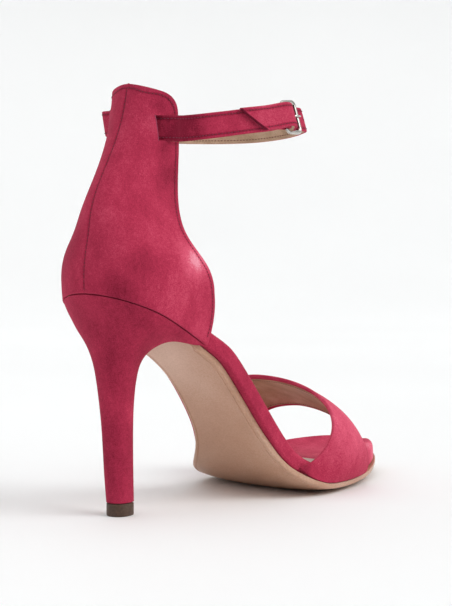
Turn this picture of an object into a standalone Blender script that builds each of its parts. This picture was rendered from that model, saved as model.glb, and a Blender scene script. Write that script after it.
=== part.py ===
"""Stiletto sandal for the right foot: open toe, closed heel counter and buckled ankle strap.

Frame: +Y points to the toe, +X to the outer (lateral) side of the foot, +Z up, floor at Z = 0.
Sizes are in millimetres and become metres when a mesh is made. Stations (y) are measured along
the floor from the back of the heel seat, x from the middle plane of the heel.
"""

import math

import bmesh
import bpy
import numpy as np

MM = 0.001

# Driving sizes
HEEL_HEIGHT = 101.0  # floor to the edge of the heel seat, at the back
SHOE_LENGTH = 222.0  # back of the counter to the toe tip, along the floor
SEAT_LENGTH = 50.0  # back of the counter to the tips of the heel's wings
SEAT_EQUATOR = 26.0  # station where the rounded back of the seat is widest
SEAT_HALF_WIDTH = 28.0
OUTER_BALL = 127.0  # widest station of the outer side
INNER_BALL = 154.0  # widest station of the inner side
OUTER_TOE_POWER = 1.6  # the outer side runs nearly straight to the toe
INNER_TOE_POWER = 2.2  # the inner side stays full for longer
TOE_TIP_X = -13.0  # the toe leans to the inner side
INSOLE_THICKNESS = 8.6
INSOLE_EDGE_RADIUS = 3.2
OUTSOLE_THICKNESS = 3.0
WALL = 1.8  # suede and lining together
GAP = 0.3  # between pieces that touch on the real shoe
SEAT_BACK = WALL + 3 * GAP
CROWN = 2.4  # how far the edges of the forefoot curl up from the floor
CROWN_START = (98.0, 126.0)  # stations where the curl begins and is complete
TIP_STATION = 22.0  # middle of the heel tip
TIP_HEIGHT = 5.9

# Underside of the insole along its middle: the seat slopes, the shank drops, the toe springs up
PROFILE = np.array(
    [  # station, height
        (0, HEEL_HEIGHT + 0.8),
        (25, 89.6),
        (52, 76.0),
        (74, 54.5),
        (93, 32.0),
        (110, 13.0),
        (125, 4.6),
        (141, 2.6),
        (159, 2.6),
        (184, 4.0),
        (SHOE_LENGTH, 7.5),
    ]
)

# Edge of the insole between the rounded seat and the rounded toe
OUTER_EDGE = np.array(
    [  # station, x
        (SEAT_EQUATOR, SEAT_HALF_WIDTH),
        (35, 26.8),
        (45, 25.2),
        (52, 25.8),
        (58, 29.4),
        (66, 30.6),
        (80, 30.0),
        (93, 29.8),
        (105, 31.0),
        (116, 33.2),
        (OUTER_BALL, 34.6),
    ]
)
INNER_EDGE = np.array(
    [  # station, x
        (SEAT_EQUATOR, -SEAT_HALF_WIDTH),
        (35, -26.4),
        (45, -23.6),
        (52, -20.6),
        (60, -17.6),
        (68, -15.9),
        (76, -16.2),
        (84, -17.6),
        (91, -19.6),
        (98, -23.4),
        (103, -27.0),
        (113, -34.2),
        (125, -41.2),
        (139, -46.0),
        (INNER_BALL, -47.5),
    ]
)

# How far the outsole stands out past the insole's edge
OUTSOLE_MARGIN = np.array(
    [  # station, outer side, inner side
        (SEAT_LENGTH, -1.2, -2.6),
        (60, -3.4, -4.4),
        (70, -3.6, -4.8),
        (88, -3.4, -4.0),
        (98, -1.9, -2.0),
        (105, -1.2, -0.3),
        (114, 2.3, 2.1),
        (176, 2.3, 2.3),
        (197, 0.9, 1.7),
        (SHOE_LENGTH, 0.6, 0.6),
    ]
)

# Heel, from the seat down to the tip: one row for each section, all symmetric about x = 0
HEEL_SECTIONS = np.array(
    [  # back y, back z, front y, front z, half width, corner half width, breast y, breast power
        (1.6, 100.6, SEAT_LENGTH, 76.7, 29.6, 26.8, 30.0, 7.0),
        (3.4, 96.6, 45.6, 77.2, 28.0, 25.6, 29.6, 7.0),
        (5.2, 93.0, 40.2, 78.4, 26.0, 23.8, 29.4, 6.0),
        (7.0, 89.0, 35.0, 79.0, 23.6, 21.2, 29.2, 5.0),
        (8.3, 85.0, 31.6, 78.0, 20.8, 18.0, 29.0, 4.0),
        (9.3, 80.0, 29.8, 75.4, 16.6, 13.4, 28.7, 3.0),
        (10.0, 75.0, 28.9, 72.2, 13.2, 9.9, 28.3, 2.0),
        (10.7, 69.0, 28.0, 68.0, 10.4, 7.6, 27.6, 2.0),
        (11.5, 61.5, 27.2, 61.5, 8.5, 6.2, 26.9, 2.0),
        (12.4, 52.0, 26.6, 52.0, 7.1, 5.3, 26.3, 2.0),
        (13.9, 38.0, 26.4, 38.0, 6.35, 4.8, 26.2, 2.0),
        (15.1, 20.0, 26.8, 20.0, 6.0, 4.5, 26.6, 2.0),
        (16.3, TIP_HEIGHT + GAP, 27.4, TIP_HEIGHT + GAP, 5.6, 4.2, 27.2, 2.0),
    ]
)
HEEL_EQUATOR = 0.47  # share of a section's length at which it is widest

# Counter: level sections of its outer surface
COUNTER_SECTIONS = np.array(
    [  # height, back y, front y, back to widest place, half width, middle x
        (72, 0.0, 48.0, 26.0, 29.6, 0.0),
        (84, 0.6, 53.6, 26.0, 30.2, 0.0),
        (94, 0.9, 55.0, 26.0, 31.0, 0.0),
        (103, 0.6, 53.8, 26.0, 31.5, -0.2),
        (112, 0.7, 49.4, 25.5, 31.0, -0.3),
        (120, 2.0, 44.0, 25.0, 28.4, -0.5),
        (128, 3.9, 42.0, 24.5, 23.6, -0.8),
        (137, 6.0, 43.4, 24.0, 19.2, -1.4),
        (151, 12.3, 47.2, 22.5, 15.3, -2.1),
        (167, 22.1, 48.0, 19.5, 16.2, -3.1),
        (183, 29.6, 46.4, 17.0, 18.3, -4.3),
        (197, 34.0, 45.0, 16.0, 20.0, -5.8),
    ]
)
COUNTER_ROWS = np.array(
    [  # height at the back, height at the front edge
        (101.6, 77.4),
        (107.0, 85.0),
        (113.5, 93.5),
        (120.0, 103.0),
        (127.0, 112.5),
        (134.5, 122.0),
        (142.5, 132.0),
        (151.0, 143.0),
        (160.0, 155.0),
        (170.0, 167.0),
        (178.5, 176.0),
        (185.5, 182.6),
    ]
)
INNER_TUCK = 0.08  # how far the heel's wing and the counter are drawn in on the inner side
COUNTER_TAPER = 0.06  # how fast the counter narrows in front of its widest place, low down
COUNTER_TOP_RADIUS = 10.0  # rounding of the two upper front corners, above the last row
COUNTER_TOP_TURNS = np.radians([22, 42, 58, 71, 81, 90])  # rows within that rounding

# Toe band: one row for each arch from the rear edge to the front edge
BAND_ARCHES = np.array(
    [  # outer y, inner y, crest x, crest y, crest z, outer bulge, inner bulge, outer waist, inner waist
        (110.5, 140.0, -17.0, 141.5, 55.0, 10.5, 12.5, 0.0, 3.0),
        (141.0, 167.0, -18.5, 160.0, 47.6, 9.4, 11.0, -2.6, 0.0),
        (167.0, 193.0, -20.0, 178.5, 37.6, 7.0, 9.0, -8.0, -4.0),
    ]
)
BAND_SWEEP = 0.42  # how quickly an arch leaves its foot towards the crest's station

# Ankle strap: it is threaded through a slit on each side and runs inside the counter's back
STRAP_THICKNESS = 1.8
STRAP_FOLD_THICKNESS = 1.0  # thinned where it folds round the buckle's bar
STRAP_HEIGHT = 11.0
STRAP_LEVEL = 175.0  # height of its middle at the slits
STRAP_LEAN = 0.28  # its upper edge leans in over the ankle, at the front
STRAP_LEAN_STATIONS = (55.0, 100.0)  # where the lean begins and is complete
ANKLE_STATION = 82.0  # middle of the loop
SLIT_START = 35.4  # station of the slits' rear lip
SLIT_LENGTH = 8.0
SLIT_CLEARANCE = 0.6
INNER_SLIT_RISE = 3.4  # the inner slit lies higher than the outer one
TAIL_SLANT = 13.0  # the tail's end is cut on a slant, longest at the top
BUCKLE_MIDDLE = np.array([30.0, 106.4, 182.2])
BUCKLE_TURN = math.radians(14)  # the buckle faces a little forward of straight out
BUCKLE_TILT = 0.16  # how far its front bar stands out, as a share of its length
BUCKLE_LENGTH = 10.0  # from bar to bar
BUCKLE_HEIGHT = 15.0  # between the middles of its upper and lower sides
BUCKLE_WIRE = 0.85  # radius
BUCKLE_CORNER = 1.9
PRONG_RADIUS = 0.6
STRAP_OUTER_RUN = np.array(
    [  # x, y, z of the strap's middle line between the buckle's fold and the outer slit
        (31.5, 91.5, 181.2),
        (28.6, 81.5, 179.8),
        (24.6, 71.0, 178.2),
        (19.6, 60.0, 176.6),
    ]
)
STRAP_INNER_RUN = np.array(
    [  # x, y, z from the inner slit, which it leaves steeply, round the front to the buckle
        (-30.4, 46.8, 178.6),
        (-34.0, 56.0, 178.4),
        (-35.2, 69.0, 178.0),
        (-34.4, 84.0, 177.6),
        (-31.8, 100.0, 177.4),
        (-26.2, 114.4, 177.6),
        (-15.0, 124.4, 177.9),
        (0.0, 128.6, 178.8),
        (12.5, 128.4, 180.2),
        (20.5, 125.2, 181.2),
        (27.3, 119.4, 182.0),
    ]
)
STRAP_TAIL = np.array(
    [  # x, y, z from the buckle to the tail's end
        (33.9, 91.0, 181.8),
        (31.2, 81.6, 180.4),
        (28.4, 74.0, 179.5),
    ]
)


def spline(table, at, flat_ends=False):
    """Values of a smooth cubic curve through the table's two columns. Its ends are flat or free."""
    x, y = np.asarray(table, float).T
    at = np.asarray(at, float)
    step = np.diff(x)
    rise = np.diff(y) / step
    count = len(x)
    matrix = np.zeros((count, count))
    right = np.zeros(count)
    for i in range(1, count - 1):
        matrix[i, i - 1 : i + 2] = step[i], 2 * (step[i - 1] + step[i]), step[i - 1]
        right[i] = 3 * (step[i] * rise[i - 1] + step[i - 1] * rise[i])
    matrix[0, 0] = matrix[-1, -1] = 1
    if not flat_ends:
        matrix[0, 1] = matrix[-1, -2] = 0.5
        right[0], right[-1] = 1.5 * rise[0], 1.5 * rise[-1]
    slope = np.linalg.solve(matrix, right)
    i = np.clip(np.searchsorted(x, at, side="right") - 1, 0, count - 2)
    t = np.clip((at - x[i]) / step[i], 0, 1)
    return (
        y[i] * (1 + 2 * t) * (1 - t) ** 2
        + y[i + 1] * t**2 * (3 - 2 * t)
        + step[i] * t * (1 - t) * (slope[i] * (1 - t) - slope[i + 1] * t)
    )


def edge_x(station, table, power):
    """x of the insole's edge on one side: a round seat, the table's curve, and a round toe."""
    station = np.asarray(station, float)
    widest = table[-1, 0]
    seat = np.clip((SEAT_EQUATOR - station) / (SEAT_EQUATOR - SEAT_BACK), 0, 1)
    toe = np.clip((station - widest) / (SHOE_LENGTH - widest), 0, 1)
    x = spline(table, np.clip(station, SEAT_EQUATOR, widest), flat_ends=True)
    x = x * np.sqrt(1 - seat**2)
    return TOE_TIP_X + (x - TOE_TIP_X) * (1 - toe**power) ** (1 / power)


def outer_x(station):
    return edge_x(station, OUTER_EDGE, OUTER_TOE_POWER)


def inner_x(station):
    return edge_x(station, INNER_EDGE, INNER_TOE_POWER)


def crown(station, x):
    """How far the forefoot's underside has curled up at a place between its two edges."""
    share = np.clip((station - CROWN_START[0]) / (CROWN_START[1] - CROWN_START[0]), 0, 1)
    middle = (outer_x(station) + inner_x(station)) / 2
    half = np.maximum((outer_x(station) - inner_x(station)) / 2, 12)
    return CROWN * share**2 * (3 - 2 * share) * np.clip(np.abs(x - middle) / half, 0, 1.05) ** 3


def on_last(station, x, lift):
    """Points at a height above the insole's underside, measured square to its slope."""
    station = np.asarray(station, float)
    small = 0.05
    slope = (spline(PROFILE, station + small) - spline(PROFILE, station - small)) / (2 * small)
    length = np.hypot(1, slope)
    y = station - lift * slope / length
    z = spline(PROFILE, station) + crown(station, x) + lift / length
    return np.stack([np.broadcast_to(x, y.shape), y, z], axis=-1)


def stations(first, steps_seat, steps_middle, steps_toe):
    """Stations from first to the toe tip, close together where the outline is round."""
    turn = np.linspace(0, math.pi / 2, steps_seat + 1)[:-1]
    seat = SEAT_EQUATOR - (SEAT_EQUATOR - SEAT_BACK) * np.cos(turn)
    middle = np.linspace(SEAT_EQUATOR, INNER_BALL, steps_middle + 1)[:-1]
    turn = np.linspace(0, math.pi / 2, steps_toe + 1)
    toe = INNER_BALL + (SHOE_LENGTH - INNER_BALL) * np.sin(turn)
    every = np.concatenate([seat, middle, toe])
    return np.concatenate([[first], every[every > first + 1]])


def ring_of(station, outer, inner):
    """A closed outline in the floor plane: the outer side to the toe, then the inner side back."""
    return np.concatenate(
        [np.stack([station, outer], 1), np.stack([station, inner], 1)[-2:0:-1]]
    )


def inset_ring(ring, distance):
    """The outline moved inwards by a distance, one for all points or one for each."""
    along = np.roll(ring, -1, 0) - np.roll(ring, 1, 0)
    along /= np.linalg.norm(along, axis=1, keepdims=True)
    inward = np.stack([along[:, 1], -along[:, 0]], 1)
    middle = ring.mean(0)
    if np.sum((middle - ring) * inward) < 0:
        inward = -inward
    return ring + inward * np.broadcast_to(distance, len(ring))[:, None]


def middle_ring(ring, start, end):
    """The outline's middle line, one point for each point of the outline."""
    station = np.clip(ring[:, 0], start, end)
    return np.stack([station, (outer_x(station) + inner_x(station)) / 2], 1)


def plate(name, rings, lifts, middle, finish):
    """A solid from outlines at given lifts on the last, closed at its middle line, not under the floor."""
    shares = (0, 0.35, 0.65, 0.85)
    first, last = rings[0], rings[-1]
    below = [middle + (first - middle) * share for share in shares]
    above = [middle + (last - middle) * share for share in reversed(shares)]
    lifts = [lifts[0]] * len(shares) + lifts + [lifts[-1]] * len(shares)
    solid = []
    for ring, lift in zip([*below, *rings, *above], lifts):
        points = on_last(ring[:, 0], ring[:, 1], lift)
        points[:, 2] = np.maximum(points[:, 2], 0)
        solid.append(points)
    return loft(name, solid, finish, capped=False)


def material(name, color, roughness, metallic=0.0):
    made = bpy.data.materials.new(name)
    made.use_nodes = True
    shader = made.node_tree.nodes["Principled BSDF"]
    shader.inputs["Base Color"].default_value = (*color, 1)
    shader.inputs["Roughness"].default_value = roughness
    shader.inputs["Metallic"].default_value = metallic
    return made


def mesh_object(name, points, faces, finish):
    """A closed mesh object from points in millimetres, welded, facing out and shaded smooth."""
    mesh = bpy.data.meshes.new(name)
    build = bmesh.new()
    vertices = [build.verts.new(point * MM) for point in np.asarray(points, float)]
    for face in faces:
        if len(set(face)) > 2:
            build.faces.new([vertices[i] for i in face])
    bmesh.ops.remove_doubles(build, verts=build.verts, dist=1e-6)
    bmesh.ops.dissolve_degenerate(build, edges=build.edges, dist=1e-7)
    bmesh.ops.recalc_face_normals(build, faces=build.faces)
    build.to_mesh(mesh)
    build.free()
    mesh.shade_smooth()
    mesh.set_sharp_from_angle(angle=math.radians(40))
    mesh.materials.append(finish)
    made = bpy.data.objects.new(name, mesh)
    bpy.context.scene.collection.objects.link(made)
    return made


def loft(name, rings, finish, capped=True):
    """A solid through closed rings of equally many points, with flat or already welded ends."""
    count = len(rings[0])
    points = np.concatenate(rings)
    faces = []
    for level in range(len(rings) - 1):
        for i in range(count):
            j = (i + 1) % count
            low, high = level * count, (level + 1) * count
            faces.append((low + i, low + j, high + j, high + i))
    if capped:
        last = (len(rings) - 1) * count
        faces.append(tuple(range(count)))
        faces.append(tuple(range(last, last + count)))
    return mesh_object(name, points, faces, finish)


def shell(name, outer, inner, finish):
    """A wall between two grids of points, closed along its four edges."""
    rows, columns = outer.shape[:2]
    points = np.concatenate([outer.reshape(-1, 3), inner.reshape(-1, 3)])
    half = rows * columns

    def at(row, column, side):
        return side * half + row * columns + column

    faces = []
    for row in range(rows - 1):
        for column in range(columns - 1):
            for side in (0, 1):
                corners = [(row, column), (row, column + 1), (row + 1, column + 1), (row + 1, column)]
                faces.append(tuple(at(r, c, side) for r, c in corners))
    border = [(0, c) for c in range(columns)] + [(r, columns - 1) for r in range(1, rows)]
    border += [(rows - 1, c) for c in range(columns - 2, -1, -1)] + [(r, 0) for r in range(rows - 2, 0, -1)]
    for (r0, c0), (r1, c1) in zip(border, border[1:] + border[:1]):
        faces.append((at(r0, c0, 0), at(r1, c1, 0), at(r1, c1, 1), at(r0, c0, 1)))
    return mesh_object(name, points, faces, finish)


def grid_normals(grid):
    """Unit normals of a grid of points, from its neighbours along both directions."""
    normal = np.cross(np.gradient(grid, axis=0), np.gradient(grid, axis=1))
    return normal / np.linalg.norm(normal, axis=-1, keepdims=True)


def walled(grid, centre, thickness):
    """The grid's points moved by a wall's thickness towards a point inside."""
    normal = grid_normals(grid)
    outward = np.sum(normal * (grid - centre), axis=-1).mean() > 0
    return grid - normal * thickness * (1 if outward else -1)


def make_insole(finish):
    """Padded footbed, its edge rolled under, with the suede wrapped round it."""
    station = stations(SEAT_BACK, 6, 15, 8)
    ring = ring_of(station, outer_x(station), inner_x(station))
    turns = np.radians([0, 30, 60, 90])
    edge = [(1 - math.sin(a), 1 - math.cos(a)) for a in turns]
    radius = INSOLE_EDGE_RADIUS
    steps = [(radius * inset, radius * rise) for inset, rise in edge]
    steps += [(inset, INSOLE_THICKNESS - rise) for inset, rise in reversed(steps)]
    rings = [inset_ring(ring, inset) for inset, _ in steps]
    middle = middle_ring(ring, SEAT_EQUATOR, SHOE_LENGTH - 40)
    return plate("insole", rings, [lift for _, lift in steps], middle, finish)


def tucked(x, y):
    """x with the inner side drawn in towards the narrow waist, in front of the seat's widest place."""
    share = np.clip((y - SEAT_EQUATOR) / (SEAT_LENGTH - SEAT_EQUATOR), 0, 1.2)
    return np.where(x < 0, x * (1 - INNER_TUCK * share**2), x)


def tongue_half_width(station):
    """Half the width of the outsole's tongue, which fills the space between the heel's wings."""
    _, _, front_y, _, _, corner, breast_y, power = HEEL_SECTIONS[0]
    share = np.clip((station - breast_y - 1.3) / (front_y - breast_y - 1.3), 0, 1)
    return (corner - WALL - 4 * GAP) * share ** (1 / power)


def make_outsole(finish):
    """Thin leather sole from the heel's breast to the toe, flat where it stands on the floor."""
    start = HEEL_SECTIONS[0, 6] + 1.5
    tongue = start + np.array([0, 0.6, 2, 5, 10, 16])
    station = np.concatenate([tongue, stations(SEAT_LENGTH, 6, 17, 8)])
    margin = [np.interp(station, OUTSOLE_MARGIN[:, 0], column) for column in OUTSOLE_MARGIN.T[1:]]
    outer, inner = outer_x(station), inner_x(station)
    ring = ring_of(station, outer, inner)
    wide = inset_ring(ring, -np.concatenate([margin[0], margin[1][-2:0:-1]]))
    in_tongue = ring[:, 0] < SEAT_LENGTH
    wide[in_tongue, 0] = ring[in_tongue, 0]
    across = np.sign(ring[in_tongue, 1]) * tongue_half_width(ring[in_tongue, 0])
    wide[in_tongue, 1] = tucked(across, ring[in_tongue, 0])
    edge = 0.8
    steps = [(edge, -OUTSOLE_THICKNESS), (0.0, edge - OUTSOLE_THICKNESS), (0.0, -1.5 * GAP)]
    rings = [inset_ring(wide, np.where(in_tongue, 0, inset)) for inset, _ in steps]
    middle = middle_ring(ring, SEAT_LENGTH, SHOE_LENGTH - 40)
    return plate("outsole", rings, [lift for _, lift in steps], middle, finish)


def heel_ring(back_y, back_z, front_y, front_z, half_width, corner, breast_y, power, arc=10, across=6):
    """One heel section: round at the back, narrower at the front corners, hollow at the breast."""
    turn = np.linspace(0, math.pi / 2, arc + 1)
    share = HEEL_EQUATOR * (1 - np.cos(turn))
    width = half_width * np.sin(turn)
    ahead = np.linspace(HEEL_EQUATOR, 1, arc // 2 + 1)[1:]
    fall = (ahead - HEEL_EQUATOR) / (1 - HEEL_EQUATOR)
    share = np.concatenate([share, ahead])
    width = np.concatenate([width, half_width + (corner - half_width) * fall**2])
    y = back_y + (front_y - back_y) * share
    thick = min(WALL, 0.2 * corner)
    inner = np.sin(np.linspace(0, math.pi / 2, across + 1))[::-1] * (corner - thick)
    breast = breast_y + (front_y - breast_y) * (inner / (corner - thick)) ** power
    half = np.stack([np.concatenate([width, inner]), np.concatenate([y, breast])], 1)
    other = half[-2:0:-1] * (-1, 1)
    flat = np.concatenate([half, other])
    z = back_z + (front_z - back_z) * (flat[:, 1] - back_y) / (front_y - back_y)
    return np.stack([tucked(*flat.T), flat[:, 1], z], 1)


def make_heel(finish):
    return loft("heel", [heel_ring(*row) for row in HEEL_SECTIONS], finish)


def make_heel_tip(finish):
    """Hard top piece under the heel, with a small chamfer round its wearing face."""
    section = HEEL_SECTIONS[-1]
    top = heel_ring(*section)
    middle = np.array([0, TIP_STATION, 0])
    chamfer = 0.4
    rings = []
    for height, inset in ((TIP_HEIGHT, 0.1), (chamfer, 0.1), (0.0, chamfer)):
        ring = top.copy()
        outward = ring[:, :2] - middle[:2]
        length = np.linalg.norm(outward, axis=1, keepdims=True)
        ring[:, :2] = middle[:2] + outward * (length - inset) / length
        ring[:, 2] = height
        rings.append(ring)
    return loft("heel_tip", rings, finish)


def counter_front(height):
    """Station of the counter's front edge, rounded off at its upper corner."""
    over = np.clip((height - COUNTER_ROWS[-1, 1]) / COUNTER_TOP_RADIUS, 0, 1)
    return spline(COUNTER_SECTIONS[:, (0, 2)], height) - COUNTER_TOP_RADIUS * (1 - np.sqrt(1 - over**2))


def counter_point(height, share, side, front, inset=0.0):
    """A point of the counter, inset from its outer surface: share 0 is the back, 1 the front edge."""
    height = np.asarray(height, float)
    back, reach, widest, middle = (
        spline(COUNTER_SECTIONS[:, (0, column)], height) for column in (1, 3, 4, 5)
    )
    back, reach, widest = back + inset, reach - inset, widest - inset
    y = back + (front - back) * share
    part = (y - back) / reach
    rounded = np.sqrt(1 - (1 - np.clip(part, 0, 1)) ** 2)
    low = np.clip((120 - height) / 20, 0, 1)
    narrowed = 1 - COUNTER_TAPER * low * np.clip(part - 1, 0, None) ** 2
    x = middle + side * widest * rounded * narrowed
    return np.stack([x + low * (tucked(x, y) - x), y, height], axis=-1)


def counter_grid(columns, inset):
    """The surface from the outer front edge, round the back, to the inner front edge."""
    turn = np.linspace(-1, 1, 2 * columns + 1)
    share = np.abs(turn) ** 1.7
    top = COUNTER_ROWS[-1] + COUNTER_TOP_RADIUS * np.sin(COUNTER_TOP_TURNS)[:, None]
    rows = []
    for back_z, front_z in [*COUNTER_ROWS, *top]:
        height = back_z + (front_z - back_z) * share
        rows.append(counter_point(height, share, -np.sign(turn), counter_front(front_z), inset))
    return np.array(rows)


def box_cutter(name, middle, size, turn=0.0):
    """A block, not rendered, that a Boolean takes away from a piece."""
    bpy.ops.mesh.primitive_cube_add(size=1, location=np.asarray(middle) * MM, rotation=(0, 0, turn))
    cutter = bpy.context.object
    cutter.name = name
    cutter.scale = np.asarray(size) * MM
    cutter.hide_render = True
    cutter.display_type = "WIRE"
    return cutter


def cut_out(piece, cutter):
    cut = piece.modifiers.new(cutter.name, "BOOLEAN")
    cut.operation = "DIFFERENCE"
    cut.solver = "EXACT"
    cut.object = cutter


def make_counter(finish):
    """Heel counter: a hollow wall with a slit on each side for the ankle strap."""
    made = shell("counter", counter_grid(16, 0.0), counter_grid(16, WALL), finish)
    for side, name in ((1, "slit_outer"), (-1, "slit_inner")):
        x = counter_point(STRAP_LEVEL, 0.5, side, counter_front(STRAP_LEVEL))[0]
        level = STRAP_LEVEL + 0.3 + (INNER_SLIT_RISE if side < 0 else 0)
        middle = (x, SLIT_START + SLIT_LENGTH / 2, level)
        size = (14, SLIT_LENGTH, STRAP_HEIGHT + 2 * SLIT_CLEARANCE)
        cut_out(made, box_cutter(name, middle, size))
    return made


def band_arch(row, turn):
    """Points of one arch of the toe band, from its outer foot over the crest to its inner foot."""
    outer_y, inner_y, crest_x, crest_y, crest_z, outer_bulge, inner_bulge, outer_waist, inner_waist = row
    out = turn < math.pi / 2
    foot_y = np.where(out, outer_y, inner_y)
    stand = WALL + 3 * GAP
    foot_x = np.where(out, outer_x(outer_y) + stand, inner_x(inner_y) - stand)
    foot_z = spline(PROFILE, foot_y) + CROWN + GAP
    rise = np.sin(turn)
    reach = np.abs(np.cos(turn))
    swell = np.abs(np.sin(2 * turn))
    bulge = np.where(out, outer_bulge, -inner_bulge)
    waist = np.where(out, outer_waist, inner_waist)
    x = crest_x + (foot_x - crest_x) * reach + bulge * swell
    y = foot_y + (crest_y - foot_y) * rise**BAND_SWEEP + waist * swell
    z = foot_z + (crest_z - foot_z) * rise
    return np.stack([x, y, z], axis=-1)


def band_grid(rows, columns):
    """Arches from the rear edge to the front edge, with their sizes read off the table's rows."""
    turn = np.linspace(0, math.pi, columns + 1)
    turn = turn - 0.25 * np.sin(2 * turn)
    share = np.linspace(0, 1, len(BAND_ARCHES))
    at = np.linspace(0, 1, rows + 1)
    sizes = np.stack([spline(np.stack([share, column], 1), at) for column in BAND_ARCHES.T], 1)
    return np.array([band_arch(row, turn) for row in sizes])


def make_toe_band(finish):
    """Broad strap over the toes, hollow and open at the front and back."""
    outer = band_grid(10, 32)
    return shell("toe_band", outer, walled(outer, np.array([-10, 160, 5]), WALL), finish)


def beside_counter(station, side, offset, height):
    """A point of the strap's middle surface at an offset from the counter's outer surface."""
    shares = np.linspace(0, 1, 200)
    line = counter_point(np.full(200, height), shares, side, counter_front(height))
    i = np.clip(np.searchsorted(line[:, 1], station), 1, 198)
    along = line[i + 1] - line[i - 1]
    outward = side * np.array([along[1], -along[0], 0]) / np.linalg.norm(along)
    return line[i] + outward * offset


def through_slit(side, height):
    """The strap's way from outside the counter, through its slit, to the inside of its back."""
    outside = 2 * GAP + STRAP_THICKNESS / 2
    inside = -(WALL + 2 * GAP + STRAP_THICKNESS / 2)
    end = SLIT_START + SLIT_LENGTH
    close = [(end + 3.0, outside), (end - 0.2, outside)]
    way = close if side > 0 else [(end - 1.6, outside + 4.0)]
    way += [
        (SLIT_START + (0.5 if side > 0 else 0.42) * SLIT_LENGTH, (outside + inside) / 2),
        (SLIT_START + 0.2, inside),
        (SLIT_START - 2.4, inside),
    ]
    return np.array([beside_counter(station, side, offset, height) for station, offset in way])


def lean_of(station):
    start, end = STRAP_LEAN_STATIONS
    return STRAP_LEAN * np.clip((station - start) / (end - start), 0, 1)


def strap_rise(points):
    """From the strap's middle line to its upper edge, leaning in towards the ankle."""
    out = points[:, :2] - (0, ANKLE_STATION)
    out /= np.linalg.norm(out, axis=1, keepdims=True)
    rise = np.column_stack([-out * lean_of(points[:, 1])[:, None], np.ones(len(points))])
    return rise / np.linalg.norm(rise, axis=1, keepdims=True) * STRAP_HEIGHT / 2


def buckle_axes():
    """Directions of the buckle: along the strap to the front, out from the ankle, and up."""
    forward = np.array([-math.sin(BUCKLE_TURN), math.cos(BUCKLE_TURN), 0])
    up = np.array([-STRAP_LEAN * math.cos(BUCKLE_TURN), -STRAP_LEAN * math.sin(BUCKLE_TURN), 1])
    up /= np.linalg.norm(up)
    return forward, np.cross(forward, up), up


def buckle_point(along, outward, rise=0.0):
    """A point beside the buckle's middle: along the strap to the front, outwards and up."""
    outward = outward + BUCKLE_TILT * max(0, along + BUCKLE_LENGTH / 2)
    return BUCKLE_MIDDLE + np.array([along, outward, rise]) @ np.array(buckle_axes())


def strap_edge(up):
    """Points of the strap's middle surface along its upper (1) or lower (-1) edge."""
    rear = -BUCKLE_LENGTH / 2
    radius = BUCKLE_WIRE + GAP + STRAP_FOLD_THICKNESS / 2
    fold = [(rear - 5.5, -radius - 0.8), (rear - 3, -radius - 0.2)]
    for angle in np.radians([-90, -45, 0, 45, 90]):
        fold.append((rear + radius * math.cos(angle), radius * math.sin(angle)))
    fold += [(rear - 4, radius - 0.5)]
    over = radius + (STRAP_FOLD_THICKNESS + STRAP_THICKNESS) / 2 + 4 * GAP
    under = BUCKLE_WIRE + GAP + STRAP_THICKNESS / 2
    through = [(-rear, -under), (0, (over - under) / 2), (rear, over), (rear - 4.5, over - 0.4)]
    height = STRAP_LEVEL + up * STRAP_HEIGHT / 2
    middle = height + INNER_SLIT_RISE / 2
    back = counter_point(middle, 0.0, 1, counter_front(middle))
    back = back + (0, WALL + 3 * GAP + STRAP_THICKNESS / 2, 0)
    return np.concatenate(
        [
            [buckle_point(*place, up * STRAP_HEIGHT / 2) for place in fold],
            STRAP_OUTER_RUN + up * strap_rise(STRAP_OUTER_RUN),
            through_slit(1, height),
            [back],
            through_slit(-1, height + INNER_SLIT_RISE)[::-1],
            STRAP_INNER_RUN + up * strap_rise(STRAP_INNER_RUN),
            [buckle_point(*place, up * STRAP_HEIGHT / 2) for place in through],
            STRAP_TAIL + up * strap_rise(STRAP_TAIL),
        ]
    )


def strap_path(edge, middle):
    """A smooth path along an edge, and how far the strap's middle line has run at each place."""
    step = np.linalg.norm(np.diff(middle, axis=0), axis=1) ** 0.7
    run = np.concatenate([[0], np.cumsum(step)])
    fine = np.linspace(0, run[-1], 4000)
    line = np.stack([spline(np.stack([run, column], 1), fine) for column in middle.T], 1)
    length = np.concatenate([[0], np.cumsum(np.linalg.norm(np.diff(line, axis=0), axis=1))])
    return np.stack([spline(np.stack([run, column], 1), fine) for column in edge.T], 1), length


def make_ankle_strap(finish):
    """One long strap, folded round the buckle's rear bar, with a slanted tail."""
    lower, upper = strap_edge(-1), strap_edge(1)
    middle = (lower + upper) / 2
    fold = 20.0
    sides = []
    for up, edge in ((-1, lower), (1, upper)):
        path, length = strap_path(edge, middle)
        end = length[-1] - TAIL_SLANT / 2
        at = np.concatenate([np.arange(0, fold, 1.0), np.linspace(fold, end, 115)])
        half = np.interp(at, [fold - 6, fold], [STRAP_FOLD_THICKNESS / 2, STRAP_THICKNESS / 2])
        at = at + up * TAIL_SLANT / 2 * np.clip((at - end + 30) / 30, 0, 1)
        before, here, after = (
            np.stack([np.interp(at + step, length, column) for column in path.T], 1)
            for step in (-0.2, 0, 0.2)
        )
        along = after - before
        across = np.column_stack([along[:, 1], -along[:, 0], np.zeros(len(at))])
        across *= half[:, None] / np.linalg.norm(across, axis=1, keepdims=True)
        sides.append((here - across, here + across))
    (low_in, low_out), (high_in, high_out) = sides
    made = loft("ankle_strap", list(np.stack([low_in, low_out, high_out, high_in], 1)), finish)
    rear = -BUCKLE_LENGTH / 2
    cut_out(made, box_cutter("fold_slot", buckle_point(rear + 1.4, 0.4), (4.6, 5.0, 2.4), BUCKLE_TURN))
    cut_out(made, box_cutter("prong_hole", buckle_point(0, 0.8), (3.6, 4.6, 2.2), BUCKLE_TURN))
    return made


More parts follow.
